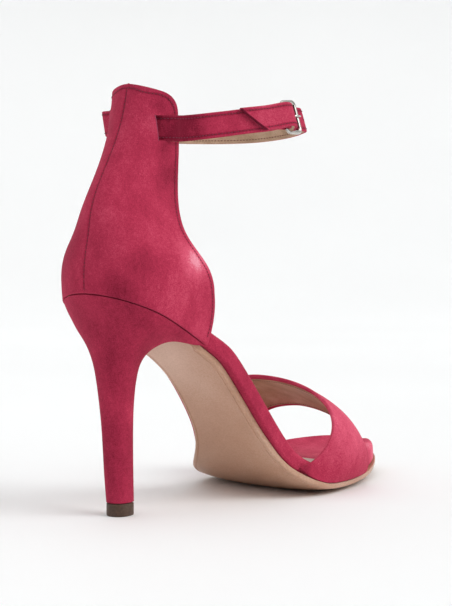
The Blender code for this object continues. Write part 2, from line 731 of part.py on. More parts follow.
def rod(name, path, radii, square, finish, closed=False):
    """A round rod along a path that lies in one plane; square is that plane's normal."""
    if closed:
        tangent = np.roll(path, -1, 0) - np.roll(path, 1, 0)
    else:
        tangent = np.gradient(path, axis=0)
    across = np.cross(tangent, square)
    across /= np.linalg.norm(across, axis=1, keepdims=True)
    turns = np.linspace(0, 2 * math.pi, 10, endpoint=False)
    rings = [
        point + radius * (np.cos(turns)[:, None] * side + np.sin(turns)[:, None] * square)
        for point, side, radius in zip(path, across, np.broadcast_to(radii, len(path)))
    ]
    if closed:
        rings.append(rings[0])
    return loft(name, rings, finish, capped=not closed)


def make_buckle_frame(finish):
    """Wire frame: its rear bar lies in the strap's fold, its front bar outside the strap."""
    places = []
    for corner, (ahead, up) in enumerate([(1, 1), (-1, 1), (-1, -1), (1, -1)]):
        for turn in np.linspace(0, math.pi / 2, 5) + corner * math.pi / 2:
            along = ahead * (BUCKLE_LENGTH / 2 - BUCKLE_CORNER) + BUCKLE_CORNER * math.cos(turn)
            rise = up * (BUCKLE_HEIGHT / 2 - BUCKLE_CORNER) + BUCKLE_CORNER * math.sin(turn)
            places.append(buckle_point(along, 0, rise))
    return rod("buckle_frame", np.array(places), BUCKLE_WIRE, buckle_axes()[1], finish, closed=True)


def make_buckle_prong(finish):
    """Pin from the rear bar, through the hole in the strap, to rest on the front bar."""
    front = BUCKLE_LENGTH / 2
    rest = BUCKLE_WIRE + GAP + PRONG_RADIUS
    start = -front + BUCKLE_WIRE + GAP + PRONG_RADIUS
    route = [(start, 0.1), (start + 1.2, 0.3), (0.4, 1.2), (2.6, rest + 0.4)]
    route += [(front, rest), (front + 1.4, rest - 0.3)]
    radii = np.linspace(PRONG_RADIUS, 0.7 * PRONG_RADIUS, len(route))
    path = np.array([buckle_point(*place) for place in route])
    return rod("buckle_prong", path, radii, buckle_axes()[2], finish)


def clear_scene():
    for old in list(bpy.data.objects):
        bpy.data.objects.remove(old, do_unlink=True)


def main():
    clear_scene()
    suede = material("raspberry_suede", (0.42, 0.035, 0.085), 0.95)
    sole_leather = material("tan_sole_leather", (0.37, 0.23, 0.14), 0.5)
    tip_plastic = material("brown_tip_plastic", (0.09, 0.055, 0.035), 0.5)
    nickel = material("polished_nickel", (0.75, 0.74, 0.72), 0.2, metallic=1.0)
    pieces = [
        make_outsole(sole_leather),
        make_insole(suede),
        make_heel(suede),
        make_heel_tip(tip_plastic),
        make_counter(suede),
        make_toe_band(suede),
        make_ankle_strap(suede),
        make_buckle_frame(nickel),
        make_buckle_prong(nickel),
    ]
    corners = np.array([vertex.co for piece in pieces for vertex in piece.data.vertices])
    middle = (corners.min(0) + corners.max(0)) / 2
    sandal = bpy.data.objects.new("sandal", None)
    bpy.context.scene.collection.objects.link(sandal)
    sandal.location = (-middle[0], -middle[1], 0)
    for made in list(bpy.context.scene.objects):
        if made.type == "MESH":
            made.parent = sandal


main()
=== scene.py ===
# %% [markdown]
# # A suede stiletto sandal
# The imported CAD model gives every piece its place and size. This lesson rebuilds the pieces that
# show as fine meshes on the same curves, adds the linings, edges and stitches that CAD leaves out,
# and gives each one a procedural finish. Sizes are in millimetres, measured as a shoemaker would:
# stations run along the floor from the back of the counter to the toe, x from the middle of the
# heel to the outer side.

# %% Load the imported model
import math

import bmesh
import bpy
import numpy as np
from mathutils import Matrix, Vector
from mathutils.bvhtree import BVHTree


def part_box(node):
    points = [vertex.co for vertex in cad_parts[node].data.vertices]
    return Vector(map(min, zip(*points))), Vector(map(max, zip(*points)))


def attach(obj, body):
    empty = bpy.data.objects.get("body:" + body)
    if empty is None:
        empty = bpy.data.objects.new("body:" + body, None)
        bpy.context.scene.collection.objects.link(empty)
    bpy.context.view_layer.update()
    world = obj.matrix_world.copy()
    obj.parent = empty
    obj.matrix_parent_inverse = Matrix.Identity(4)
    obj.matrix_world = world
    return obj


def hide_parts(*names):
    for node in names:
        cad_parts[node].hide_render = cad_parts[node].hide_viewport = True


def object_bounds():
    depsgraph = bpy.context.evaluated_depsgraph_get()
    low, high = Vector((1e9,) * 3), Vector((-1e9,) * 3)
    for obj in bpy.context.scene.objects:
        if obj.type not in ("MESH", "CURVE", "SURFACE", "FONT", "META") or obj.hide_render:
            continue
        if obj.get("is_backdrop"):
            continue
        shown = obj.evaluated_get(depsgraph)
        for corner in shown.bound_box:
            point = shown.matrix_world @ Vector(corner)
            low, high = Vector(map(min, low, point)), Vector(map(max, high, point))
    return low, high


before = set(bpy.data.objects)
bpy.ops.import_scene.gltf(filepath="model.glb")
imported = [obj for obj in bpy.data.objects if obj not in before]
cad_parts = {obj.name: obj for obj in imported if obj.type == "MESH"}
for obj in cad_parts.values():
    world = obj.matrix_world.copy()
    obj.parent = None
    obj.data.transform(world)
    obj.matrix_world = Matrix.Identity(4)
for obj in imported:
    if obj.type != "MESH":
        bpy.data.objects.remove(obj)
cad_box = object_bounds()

MM = 0.001
TIP_BACK = 16.4  # station of the heel tip's rear face
tip_low, tip_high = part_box("heel_tip")
ORIGIN = np.array([(tip_low.x + tip_high.x) / 2, tip_low.y - TIP_BACK * MM, 0.0])
print("CAD nodes:", sorted(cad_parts))


# %% [markdown]
# ## Meshes from grids
# A shoe is mostly skins: surfaces with two directions and an even wall. So one helper joins a grid
# of points into four-sided faces, one lofts closed rings, and one makes a wall between an outer
# and an inner grid and rounds its rim, as a skived and turned leather edge is. A cubic spline
# reads the size tables.


# %% Curves
def spline(table, at, flat_ends=False):
    """Values of a smooth cubic curve through a table's two columns. Its ends are flat or free."""
    x, y = np.asarray(table, float).T
    at = np.asarray(at, float)
    step = np.diff(x)
    rise = np.diff(y) / step
    count = len(x)
    matrix = np.zeros((count, count))
    right = np.zeros(count)
    for i in range(1, count - 1):
        matrix[i, i - 1 : i + 2] = step[i], 2 * (step[i - 1] + step[i]), step[i - 1]
        right[i] = 3 * (step[i] * rise[i - 1] + step[i - 1] * rise[i])
    matrix[0, 0] = matrix[-1, -1] = 1
    if not flat_ends:
        matrix[0, 1] = matrix[-1, -2] = 0.5
        right[0], right[-1] = 1.5 * rise[0], 1.5 * rise[-1]
    slope = np.linalg.solve(matrix, right)
    i = np.clip(np.searchsorted(x, at, side="right") - 1, 0, count - 2)
    t = np.clip((at - x[i]) / step[i], 0, 1)
    return (
        y[i] * (1 + 2 * t) * (1 - t) ** 2
        + y[i + 1] * t**2 * (3 - 2 * t)
        + step[i] * t * (1 - t) * (slope[i] * (1 - t) - slope[i + 1] * t)
    )


def smooth_rows(table, at, row=None):
    """Every column of a table, read between its rows, which lie one apart unless row says where."""
    row = np.arange(len(table)) if row is None else row
    columns = np.asarray(table).T
    return np.stack([spline(np.stack([row, column], 1), at) for column in columns], 1)


def unit(vectors):
    return vectors / np.maximum(np.linalg.norm(vectors, axis=-1, keepdims=True), 1e-9)


def run_along(line):
    """How far along a line each of its points lies; the last is the line's length."""
    return np.concatenate([[0], np.cumsum(np.linalg.norm(np.diff(line, axis=0), axis=1))])


# %% Grids, lofts and walls
def quads(rows, columns, first=0, closed=False):
    """Faces of a grid of points, which may close on itself across its columns."""
    index = first + np.arange(rows * columns).reshape(rows, columns)
    if closed:
        index = np.concatenate([index, index[:, :1]], 1)
    corners = [index[:-1, :-1], index[:-1, 1:], index[1:, 1:], index[1:, :-1]]
    return np.stack(corners, -1).reshape(-1, 4).tolist()


def loft(rings, capped=True):
    """Points and faces of a solid through closed rings of equally many points."""
    levels, count = rings.shape[:2]
    faces = quads(levels, count, closed=True)
    if capped:
        faces.append(list(range(count)))
        faces.append(list(range((levels - 1) * count, levels * count)))
    return rings.reshape(-1, 3), faces


def wall(outer, inner, bulge=0.55, steps=5):
    """Points and faces between two grids, with a rounded rim, and each point's place in a grid."""
    rows, columns = outer.shape[:2]
    index = np.arange(rows * columns).reshape(rows, columns)
    edge = np.concatenate([index[0], index[1:, -1], index[-1, -2::-1], index[-2:0:-1, 0]])
    away = np.zeros_like(outer)
    away[0] += unit(outer[0] - outer[1])
    away[-1] += unit(outer[-1] - outer[-2])
    away[:, 0] += unit(outer[:, 0] - outer[:, 1])
    away[:, -1] += unit(outer[:, -1] - outer[:, -2])
    flat_outer, flat_inner = outer.reshape(-1, 3), inner.reshape(-1, 3)
    half = (flat_outer[edge] - flat_inner[edge]) / 2
    out = unit(away.reshape(-1, 3)[edge]) * np.linalg.norm(half, axis=1, keepdims=True) * bulge
    turn = np.linspace(0, math.pi, steps + 2)[:, None, None]
    rim = flat_outer[edge] - half + half * np.cos(turn) + out * np.sin(turn)
    faces = quads(rows, columns) + quads(rows, columns, rows * columns)
    faces += quads(len(rim), len(edge), 2 * rows * columns, closed=True)
    points = np.concatenate([flat_outer, flat_inner, rim.reshape(-1, 3)])
    source = np.concatenate([index.ravel(), index.ravel(), np.tile(edge, len(rim))])
    return points, faces, source


# %% Pieces
SHARP_ANGLE = math.radians(40)  # a sharper edge keeps its corner


def shown(name, data):
    """An object in the scene."""
    made = bpy.data.objects.new(name, data)
    bpy.context.scene.collection.objects.link(made)
    return made


def raw_mesh(name, points, edges, faces, attributes):
    """A mesh from points in millimetres, with numbers or directions kept at its points."""
    mesh = bpy.data.meshes.new(name)
    mesh.from_pydata((np.asarray(points, float) * MM + ORIGIN).tolist(), edges, faces)
    for key, values in attributes.items():
        values = np.asarray(values, np.float32)
        kind, label = ("FLOAT_VECTOR", "vector") if values.ndim > 1 else ("FLOAT", "value")
        mesh.attributes.new(key, kind, "POINT").data.foreach_set(label, values.ravel())
    return mesh


def piece(name, points, faces, finish, **attributes):
    """A closed mesh object from points in millimetres, welded, facing out and shaded smooth."""
    mesh = raw_mesh(name, points, [], faces, attributes)
    build = bmesh.new()
    build.from_mesh(mesh)
    bmesh.ops.remove_doubles(build, verts=build.verts, dist=1e-6)
    bmesh.ops.recalc_face_normals(build, faces=build.faces)
    build.to_mesh(mesh)
    build.free()
    mesh.shade_smooth()
    mesh.set_sharp_from_angle(angle=SHARP_ANGLE)
    mesh.materials.append(finish)
    return shown(name, mesh)


def fit(made, slot, *nodes):
    """The piece rides on the shoe and stands for its CAD nodes, which are hidden. Its slot is not
    used.
    """
    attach(made, "root")
    if nodes:
        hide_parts(*nodes)
    print(f"{made.name}: {len(made.data.polygons)} faces")


# %% [markdown]
# ## Finishes
# Each finish starts from the real material. Colours are written as they look on a screen and
# turned into linear light by one function, and pattern sizes are in millimetres of the real
# surface.


# %% Colour and node helpers
def linear(code):
    """Linear colour from an sRGB hex code."""
    values = [int(code[i : i + 2], 16) / 255 for i in (1, 3, 5)]
    return (*[v / 12.92 if v <= 0.04045 else ((v + 0.055) / 1.055) ** 2.4 for v in values], 1.0)


def node(tree, kind, inputs=None, **settings):
    """A node with its settings; an input given as a socket is linked, any other is set."""
    made = tree.nodes.new(kind)
    for key, value in settings.items():
        setattr(made, key, value)
    for key, value in (inputs or {}).items():
        if isinstance(value, bpy.types.NodeSocket):
            tree.links.new(value, made.inputs[key])
        else:
            made.inputs[key].default_value = value
    return made


def start_material(name):
    made = bpy.data.materials.new(name)
    made.use_nodes = True
    made.node_tree.nodes.clear()
    return made, made.node_tree


def grain(tree, size, detail=2.0, rough=0.5, stretch=(1, 1, 1)):
    """Noise with spots of a size in millimetres, stretched along the object's axes."""
    where = node(tree, "ShaderNodeTexCoord").outputs["Object"]
    if stretch != (1, 1, 1):
        stretched = {"Vector": where, "Scale": stretch}
        where = node(tree, "ShaderNodeMapping", stretched).outputs["Vector"]
    settings = {"Vector": where, "Scale": 1 / (size * MM), "Detail": detail, "Roughness": rough}
    return node(tree, "ShaderNodeTexNoise", settings).outputs["Fac"]


def shade(tree, value, stops):
    """A colour from a number, through stops of (place, hex code)."""
    ramp = node(tree, "ShaderNodeValToRGB", {"Fac": value})
    while len(ramp.color_ramp.elements) < len(stops):
        ramp.color_ramp.elements.new(0.5)
    for element, (place, code) in zip(ramp.color_ramp.elements, stops):
        element.position = place
        element.color = linear(code)
    return ramp.outputs["Color"]


def blend_in(tree, base, value, amount):
    """base + value x amount, for adding one pattern to another."""
    inputs = {0: value, 1: amount, 2: base}
    return node(tree, "ShaderNodeMath", inputs, operation="MULTIPLY_ADD").outputs[0]


def ranged(tree, value, low, high, start=0.0, end=1.0, kind="LINEAR"):
    """A number that goes from low to high while value goes from start to end."""
    inputs = {"Value": value, "From Min": start, "From Max": end, "To Min": low, "To Max": high}
    return node(tree, "ShaderNodeMapRange", inputs, interpolation_type=kind).outputs["Result"]


def finish_material(tree, bump=None, height=0.1, strength=0.5, **sockets):
    """The surface shader, with an optional bump whose height is in millimetres."""
    inputs = {key.replace("_", " "): value for key, value in sockets.items()}
    if bump is not None:
        settings = {"Height": bump, "Distance": height * MM, "Strength": strength}
        inputs["Normal"] = node(tree, "ShaderNodeBump", settings).outputs["Normal"]
    surface = node(tree, "ShaderNodeBsdfPrincipled", inputs)
    node(tree, "ShaderNodeOutputMaterial", {"Surface": surface.outputs["BSDF"]})


# %% [markdown]
# ### Suede
# Suede is split leather, buffed until its fibres stand up. It has no gloss, a soft sheen at
# grazing angles, and lighter and darker marks wherever a hand has brushed the nap one way or the
# other. Three noises give brush marks, flecks and fibre grain. An attribute at the points adds
# painted highlight and painted shade from marks listed for each piece: lighter where a part faces
# the light, darker where it turns away or lies in the shade of another. The fibre grain of a real
# suede is about 0.1 mm and would not show, so it is drawn at 0.5 mm.

# %% Suede in three shades
STROKE_SIZE, FLECK_SIZE, FIBRE_SIZE = 9, 1.6, 0.5
STROKE_WEIGHT, FLECK_WEIGHT, FIBRE_WEIGHT = 0.42, 0.25, 0.6
NAP_BASE = 0.24  # taken off, so that unbrushed nap keeps to the middle colours


def suede(name, stops):
    made, tree = start_material(name)
    stroke = grain(tree, STROKE_SIZE, detail=3, rough=0.6, stretch=(1, 1, 0.6))
    fleck = grain(tree, FLECK_SIZE, detail=3, rough=0.65)
    fibre = grain(tree, FIBRE_SIZE, detail=2, rough=0.7)
    value = node(tree, "ShaderNodeAttribute", attribute_name="nap").outputs["Fac"]
    weights = (STROKE_WEIGHT, FLECK_WEIGHT, FIBRE_WEIGHT)
    for pattern, weight in zip((stroke, fleck, fibre), weights):
        value = blend_in(tree, value, pattern, weight)
    value = node(tree, "ShaderNodeMath", {0: value, 1: NAP_BASE}, operation="SUBTRACT").outputs[0]
    finish_material(
        tree,
        bump=blend_in(tree, fibre, fleck, 0.8),
        height=0.25,
        strength=0.55,
        Base_Color=shade(tree, value, stops),
        Roughness=0.95,
        Specular_IOR_Level=0.15,
        Sheen_Weight=0.16,
        Sheen_Roughness=0.4,
        Sheen_Tint=linear("#ee8fa2"),
    )
    return made


def painted_marks(points, marks):
    """Painted highlight and shade at each point, from marks of (x, y, z, radius, strength)."""
    nap = np.zeros(points.shape[:-1])
    for x, y, z, radius, strength in marks:
        away = np.linalg.norm(points - (x, y, z), axis=-1) / radius
        nap += strength * np.exp(-(away**2))
    return nap


SUEDE = suede(
    "raspberry_suede", [(0.0, "#76132c"), (0.42, "#b83351"), (0.74, "#dc5a75"), (1.0, "#f2a0b1")]
)
RAW_EDGE = suede("raspberry_raw_edge", [(0.1, "#8c2f4a"), (0.5, "#b0506a"), (0.9, "#c87388")])
EDGE_PAINT = suede("maroon_edge_paint", [(0.1, "#5a1026"), (0.5, "#741a33"), (0.9, "#8f2b46")])


# %% [markdown]
# ### Leathers, thread, plastic and metal
# Sole leather is bark-tanned, rolled and waxed: smooth, satin, with faint cloudy tone along the
# foot. Lining leather is softer and shows fine pores. Thread is polyester with a slight twist. The
# heel tip is moulded polyurethane, and the buckle is nickel plate, nearly a mirror with the
# faintest haze.

# %% Leathers, thread, plastic and metal
ROUGH_SPREAD = 0.07  # by how much a leather's cloudy places are rougher or smoother


def leather(name, stops, pore, cloud, roughness, strength):
    """Smooth leather, with pores and cloudy tone of sizes in millimetres, and painted light where a
    piece has it.
    """
    made, tree = start_material(name)
    worn = node(tree, "ShaderNodeAttribute", attribute_name="worn").outputs["Fac"]
    tone = blend_in(tree, worn, grain(tree, cloud, detail=3, rough=0.45), 1.0)
    where = node(tree, "ShaderNodeTexCoord").outputs["Object"]
    cells = node(tree, "ShaderNodeTexVoronoi", {"Vector": where, "Scale": 1 / (pore * MM)})
    pores = cells.outputs["Distance"]
    value = blend_in(tree, blend_in(tree, tone, pores, -0.25), grain(tree, 0.6), 0.2)
    finish_material(
        tree,
        bump=pores,
        height=0.06,
        strength=strength,
        Base_Color=shade(tree, value, stops),
        Roughness=ranged(tree, tone, roughness - ROUGH_SPREAD, roughness + ROUGH_SPREAD),
        Specular_IOR_Level=0.4,
    )
    return made


def plain(name, stops, size, detail, height, strength, roughness):
    """A matt finish with one fine pattern: the twist of thread, or the skin of a moulding."""
    made, tree = start_material(name)
    tone = grain(tree, size, detail)
    colour = shade(tree, tone, stops)
    finish_material(tree, tone, height, strength, Base_Color=colour, Roughness=roughness)
    return made


def plated(name, stops):
    made, tree = start_material(name)
    haze = grain(tree, 3, detail=4)
    rough = ranged(tree, haze, 0.06, 0.2)
    finish_material(tree, Base_Color=shade(tree, haze, stops), Roughness=rough, Metallic=1.0)
    return made


SOLE_LEATHER = leather(
    "tan_sole_leather", [(0.1, "#b08468"), (0.5, "#c59a80"), (1.0, "#e0bea9")],
    pore=0.9, cloud=40, roughness=0.38, strength=0.08,
)
LINING = leather(
    "tan_lining_leather", [(0.2, "#a47a62"), (0.5, "#b98d75"), (0.8, "#cba38c")],
    pore=0.7, cloud=9, roughness=0.6, strength=0.4,
)
STRAP_LINING = leather(
    "beige_strap_lining", [(0.2, "#a98a6e"), (0.5, "#bf9f84"), (0.8, "#d0b39a")],
    pore=0.7, cloud=7, roughness=0.62, strength=0.4,
)
SOCK = leather(
    "cream_sock_leather", [(0.1, "#d9ccbc"), (0.5, "#e1d5c6"), (0.9, "#e9dfd3")],
    pore=0.8, cloud=14, roughness=0.55, strength=0.3,
)
TWIST = {"size": 0.5, "detail": 2, "height": 0.08, "strength": 0.5, "roughness": 0.7}
THREAD = plain("maroon_thread", [(0.3, "#5e1029"), (0.7, "#7f1f3b")], **TWIST)
LINING_THREAD = plain("brown_thread", [(0.3, "#6d4a3a"), (0.7, "#8d6a58")], **TWIST)
TIP_PLASTIC = plain(
    "brown_tip_polyurethane", [(0.3, "#443024"), (0.7, "#573f2f")],
    size=1.2, detail=4, height=0.04, strength=0.3, roughness=0.5,
)
NICKEL = plated("polished_nickel_plate", [(0.3, "#b4b1ab"), (0.7, "#cdcac4")])
print("finishes:", len(bpy.data.materials))


# %% [markdown]
# ## The last
# A shoe is shaped on a last. These tables give its bottom: the profile from the sloped heel seat
# down the shank to the springing toe, and the two sides of its outline. Everything on the bottom
# of the shoe is then an outline, moved in or out, at some lift measured square to that profile.

# %% Shape of the last
HEEL_HEIGHT = 101.0
SHOE_LENGTH = 222.0
SEAT_LENGTH = 50.0
SEAT_EQUATOR = 26.0  # station at which the seat is widest
SEAT_HALF_WIDTH = 28.0
OUTER_BALL, INNER_BALL = 127.0, 154.0  # stations at which the forefoot is widest
OUTER_TOE_POWER, INNER_TOE_POWER = 1.6, 2.2  # 2 would be an ellipse
TOE_TIP_X = -13.0
MIDDLE_LINE_END = SHOE_LENGTH - 40  # of the line at which the bottom's faces meet
INSOLE_THICKNESS = 8.6
INSOLE_EDGE_RADIUS = 3.2
OUTSOLE_THICKNESS = 3.0
WALL = 1.8  # thickness of counter and band
GAP = 0.3  # between neighbouring pieces
SEAT_BACK = WALL + 3 * GAP
CROWN = 2.4  # how far the forefoot's edges curl up
CROWN_START, CROWN_END = 98.0, 126.0
CROWN_LEAST_HALF = 12.0  # keeps the curl gentle at the narrow toe

PROFILE = np.array([  # station, height
    (0, HEEL_HEIGHT + 0.8), (25, 89.6), (52, 76.0), (74, 54.5), (93, 32.0), (110, 13.0),
    (125, 4.6), (141, 2.6), (159, 2.6), (184, 4.0), (SHOE_LENGTH, 7.5),
])
OUTER_EDGE = np.array([  # station, x
    (SEAT_EQUATOR, SEAT_HALF_WIDTH), (35, 26.8), (45, 25.2), (52, 25.8), (58, 29.4), (66, 30.6),
    (80, 30.0), (93, 29.8), (105, 31.0), (116, 33.2), (OUTER_BALL, 34.6),
])
INNER_EDGE = np.array([  # station, x
    (SEAT_EQUATOR, -SEAT_HALF_WIDTH), (35, -26.4), (45, -23.6), (52, -20.6), (60, -17.6),
    (68, -15.9), (76, -16.2), (84, -17.6), (91, -19.6), (98, -23.4), (103, -27.0), (113, -34.2),
    (125, -41.2), (139, -46.0), (INNER_BALL, -47.5),
])


def edge_x(station, table, power):
    """x of the insole's edge on one side: a round seat, the table's curve, and a round toe."""
    station = np.asarray(station, float)
    widest = table[-1, 0]
    seat = np.clip((SEAT_EQUATOR - station) / (SEAT_EQUATOR - SEAT_BACK), 0, 1)
    toe = np.clip((station - widest) / (SHOE_LENGTH - widest), 0, 1)
    x = spline(table, np.clip(station, SEAT_EQUATOR, widest), flat_ends=True)
    x = x * np.sqrt(1 - seat**2)
    return TOE_TIP_X + (x - TOE_TIP_X) * (1 - toe**power) ** (1 / power)


def outer_x(station):
    return edge_x(station, OUTER_EDGE, OUTER_TOE_POWER)


def inner_x(station):
    return edge_x(station, INNER_EDGE, INNER_TOE_POWER)


def crown(station, x):
    """How far the forefoot's underside has curled up at a place between its two edges."""
    share = np.clip((station - CROWN_START) / (CROWN_END - CROWN_START), 0, 1)
    middle = (outer_x(station) + inner_x(station)) / 2
    half = np.maximum((outer_x(station) - inner_x(station)) / 2, CROWN_LEAST_HALF)
    return CROWN * share**2 * (3 - 2 * share) * np.clip(np.abs(x - middle) / half, 0, 1.05) ** 3


def on_last(station, x, lift):
    """Points at a height above the insole's underside, measured square to its slope."""
    station = np.asarray(station, float)
    small = 0.05
    slope = (spline(PROFILE, station + small) - spline(PROFILE, station - small)) / (2 * small)
    length = np.hypot(1, slope)
    y = station - lift * slope / length
    z = spline(PROFILE, station) + crown(station, x) + lift / length
    return np.stack([np.broadcast_to(x, y.shape), y, z], axis=-1)


# %% Outlines and plates on the last
def stations(first, steps_seat, steps_middle, steps_toe):
    """Stations from first to the toe tip, close together where the outline is round."""
    turn = np.linspace(0, math.pi / 2, steps_seat + 1)[:-1]
    seat = SEAT_EQUATOR - (SEAT_EQUATOR - SEAT_BACK) * np.cos(turn)
    middle = np.linspace(SEAT_EQUATOR, INNER_BALL, steps_middle + 1)[:-1]
    turn = np.linspace(0, math.pi / 2, steps_toe + 1)
    toe = INNER_BALL + (SHOE_LENGTH - INNER_BALL) * np.sin(turn)
    every = np.concatenate([seat, middle, toe])
    return np.concatenate([[first], every[every > first + 0.5]])


def ring_of(station, outer, inner):
    """A closed outline in the floor plane: the outer side to the toe, then the inner side back."""
    return np.concatenate([np.stack([station, outer], 1), np.stack([station, inner], 1)[-2:0:-1]])


def inset_ring(ring, distance):
    """The outline moved inwards by a distance, one for all points or one for each."""
    along = unit(np.roll(ring, -1, 0) - np.roll(ring, 1, 0))
    inside = np.stack([along[:, 1], -along[:, 0]], 1)
    if np.sum((ring.mean(0) - ring) * inside) < 0:
        inside = -inside
    return ring + inside * np.broadcast_to(distance, len(ring))[:, None]


def plate(rings, lifts, outline, middle_start):
    """A solid from outlines at lifts on the last, closed at its middle line, above the floor."""
    station = np.clip(outline[:, 0], middle_start, MIDDLE_LINE_END)
    middle = np.stack([station, (outer_x(station) + inner_x(station)) / 2], 1)
    shares = (0, 0.2, 0.4, 0.6, 0.75, 0.87, 0.95)  # of the way from the middle line to the edge
    below = [middle + (rings[0] - middle) * share for share in shares]
    above = [middle + (rings[-1] - middle) * share for share in reversed(shares)]
    every = [*below, *rings, *above]
    lifts = [lifts[0]] * len(shares) + lifts + [lifts[-1]] * len(shares)
    solid = np.array([on_last(*ring.T, lift) for ring, lift in zip(every, lifts)])
    solid[:, :, 2] = np.maximum(solid[:, :, 2], 0)
    return loft(solid, capped=False)


bottom = np.linspace(SEAT_BACK, SHOE_LENGTH, 400)
bottom_run = run_along(np.stack([bottom, spline(PROFILE, bottom)], 1))[-1]
print(f"insole length along its bottom: {bottom_run:.1f} mm")


# %% [markdown]
# ## Insole, sock lining and outsole
# The insole is a board with a thin cushion, wrapped in suede that is pulled round its edge, so its
# rim is a soft roll. A cream leather sock is glued on it, and stops short of the toe, where the
# suede shows. The outsole is a thin sheet of leather with a fine line scored along its edge.

# %% Insole
INSOLE_FOOT_RADIUS = 1.2  # the wrapped edge sits close on the outsole
# Painted light on the insole: lighter at the toe, at the ball and on its floor under the band,
# which face the light; a little painted shade on the rim at the waist.
INSOLE_PAINTED_SHADING = [  # x, y, z, radius, strength
    (9, 198, 9, 15, 0.42), (10, 130, 12, 26, 0.1), (-12, 165, 12, 26, 0.2), (30, 76, 60, 24, -0.08),
]


def make_insole():
    station = stations(SEAT_BACK, 24, 120, 44)
    ring = ring_of(station, outer_x(station), inner_x(station))
    turns = np.radians(np.linspace(0, 90, 9))
    arc = np.stack([1 - np.sin(turns), 1 - np.cos(turns)], 1)
    top = reversed(arc * INSOLE_EDGE_RADIUS)
    steps = [(inset, rise) for inset, rise in arc * INSOLE_FOOT_RADIUS]
    steps += [(inset, INSOLE_THICKNESS - rise) for inset, rise in top]
    rings = [inset_ring(ring, inset) for inset, _ in steps]
    points, faces = plate(rings, [lift for _, lift in steps], ring, SEAT_EQUATOR)
    return piece("insole_wrapped", points, faces, SUEDE, nap=painted_marks(points, INSOLE_PAINTED_SHADING))


fit(make_insole(), "suede", "insole")

# %% Sock lining
SOCK_MARGIN = 4.4
SOCK_END = 160.0
SOCK_CURVE = 5.0  # how far the corners of its front end lie back
SOCK_THICKNESS = 0.5
SOCK_SUNK = 0.2  # into the cushion


def make_sock():
    rows, columns = 160, 40
    station = np.linspace(SEAT_BACK + SOCK_MARGIN, SOCK_END, rows)
    across = np.linspace(-1, 1, columns + 1)
    outer, inner = outer_x(station) - SOCK_MARGIN, inner_x(station) + SOCK_MARGIN
    back = np.clip((station - station[0]) / (SEAT_EQUATOR - station[0]), 0, 1)
    round_seat = np.maximum(np.sqrt(1 - (1 - back) ** 2), 0.02) * (SEAT_HALF_WIDTH - SOCK_MARGIN)
    seat = station < SEAT_EQUATOR
    outer, inner = np.where(seat, round_seat, outer), np.where(seat, -round_seat, inner)
    middle, half = (outer + inner) / 2, (outer - inner) / 2
    x = middle[:, None] + half[:, None] * across
    y = station[:, None] - SOCK_CURVE * across**2 * (station[:, None] / SOCK_END) ** 6
    top = on_last(y, x, INSOLE_THICKNESS + SOCK_THICKNESS)
    under = on_last(y, x, INSOLE_THICKNESS - SOCK_SUNK)
    points, faces, _ = wall(top, under, bulge=0.3)
    return piece("sock_lining", points, faces, SOCK)


fit(make_sock(), "sole_leather")

# %% Outsole
INNER_TUCK = 0.08  # how far wing and counter are drawn in on the inner side
OUTSOLE_MARGIN = np.array([  # station, outer side, inner side
    (SEAT_LENGTH, -1.2, -2.6), (60, -3.4, -4.4), (70, -3.6, -4.8), (88, -3.4, -4.0),
    (98, -1.9, -2.0), (105, -1.2, -0.3), (114, 2.3, 2.1), (176, 2.3, 2.3), (197, 0.9, 1.7),
    (SHOE_LENGTH, 0.6, 0.6),
])
BREAST_STATION = 30.0
BREAST_HALF_WIDTH = 26.8
BREAST_POWER = 7.0
TONGUE_START = BREAST_STATION + 1.3  # the tongue runs back between the heel's wings
TONGUE_STEPS = np.array([0.2, 0.4, 0.8, 1.4, 2.2, 3.6, 5.2, 7.7, 10.2, 13.2, 16.2, 19.2])
TONGUE_INSET = 0.1  # share of the edge's rounding that the tongue has
SCORED_LINE = 2.0  # from the edge
SCORED_GROOVE = ((0.5, 0.0), (0.3, 0.28), (-0.3, 0.28), (-0.5, 0.0))  # across, depth
SOLE_EDGE = ((0.8, 0.0), (0.5, 0.1), (0.2, 0.35), (0.0, 0.8))  # inset, rise
SOLE_PAINTED_LIGHT = [(0, 56, 68, 26, 0.32), (10, 128, 0, 34, 0.1)]  # painted light: a paler shank and tread


def tucked(x, y):
    """x with the inner side drawn in towards the waist, in front of the seat's widest place."""
    share = np.clip((y - SEAT_EQUATOR) / (SEAT_LENGTH - SEAT_EQUATOR), 0, 1.2)
    return np.where(x < 0, x * (1 - INNER_TUCK * share**2), x)


def make_outsole():
    station = np.concatenate([TONGUE_START + TONGUE_STEPS, stations(SEAT_LENGTH, 24, 130, 44)])
    near = station[:, None] + np.linspace(-4, 4, 9)  # averaged, so that the edge has no corner
    known, *sides = OUTSOLE_MARGIN.T
    outer, inner = (np.interp(near, known, side).mean(1) for side in sides)
    ring = ring_of(station, outer_x(station), inner_x(station))
    wide = inset_ring(ring, -np.concatenate([outer, inner[-2:0:-1]]))
    in_tongue = ring[:, 0] < SEAT_LENGTH
    share = np.clip((ring[:, 0] - TONGUE_START) / (SEAT_LENGTH - TONGUE_START), 0, 1)
    half = (BREAST_HALF_WIDTH - WALL - 4 * GAP) * share ** (1 / BREAST_POWER)
    wide[in_tongue, 0] = ring[in_tongue, 0]
    wide[in_tongue, 1] = tucked(np.sign(ring[:, 1]) * half, ring[:, 0])[in_tongue]
    steps = [(SCORED_LINE + across, deep) for across, deep in SCORED_GROOVE] + list(SOLE_EDGE)
    steps = [(inset, rise - OUTSOLE_THICKNESS) for inset, rise in steps] + [(0.0, -1.5 * GAP)]
    share = np.where(in_tongue, TONGUE_INSET, 1)
    rings = [inset_ring(wide, share * inset) for inset, _ in steps]
    points, faces = plate(rings, [lift for _, lift in steps], ring, SEAT_LENGTH)
    worn = painted_marks(points, SOLE_PAINTED_LIGHT)
    return piece("outsole_leather", points, faces, SOLE_LEATHER, worn=worn)


fit(make_outsole(), "sole_leather", "outsole")


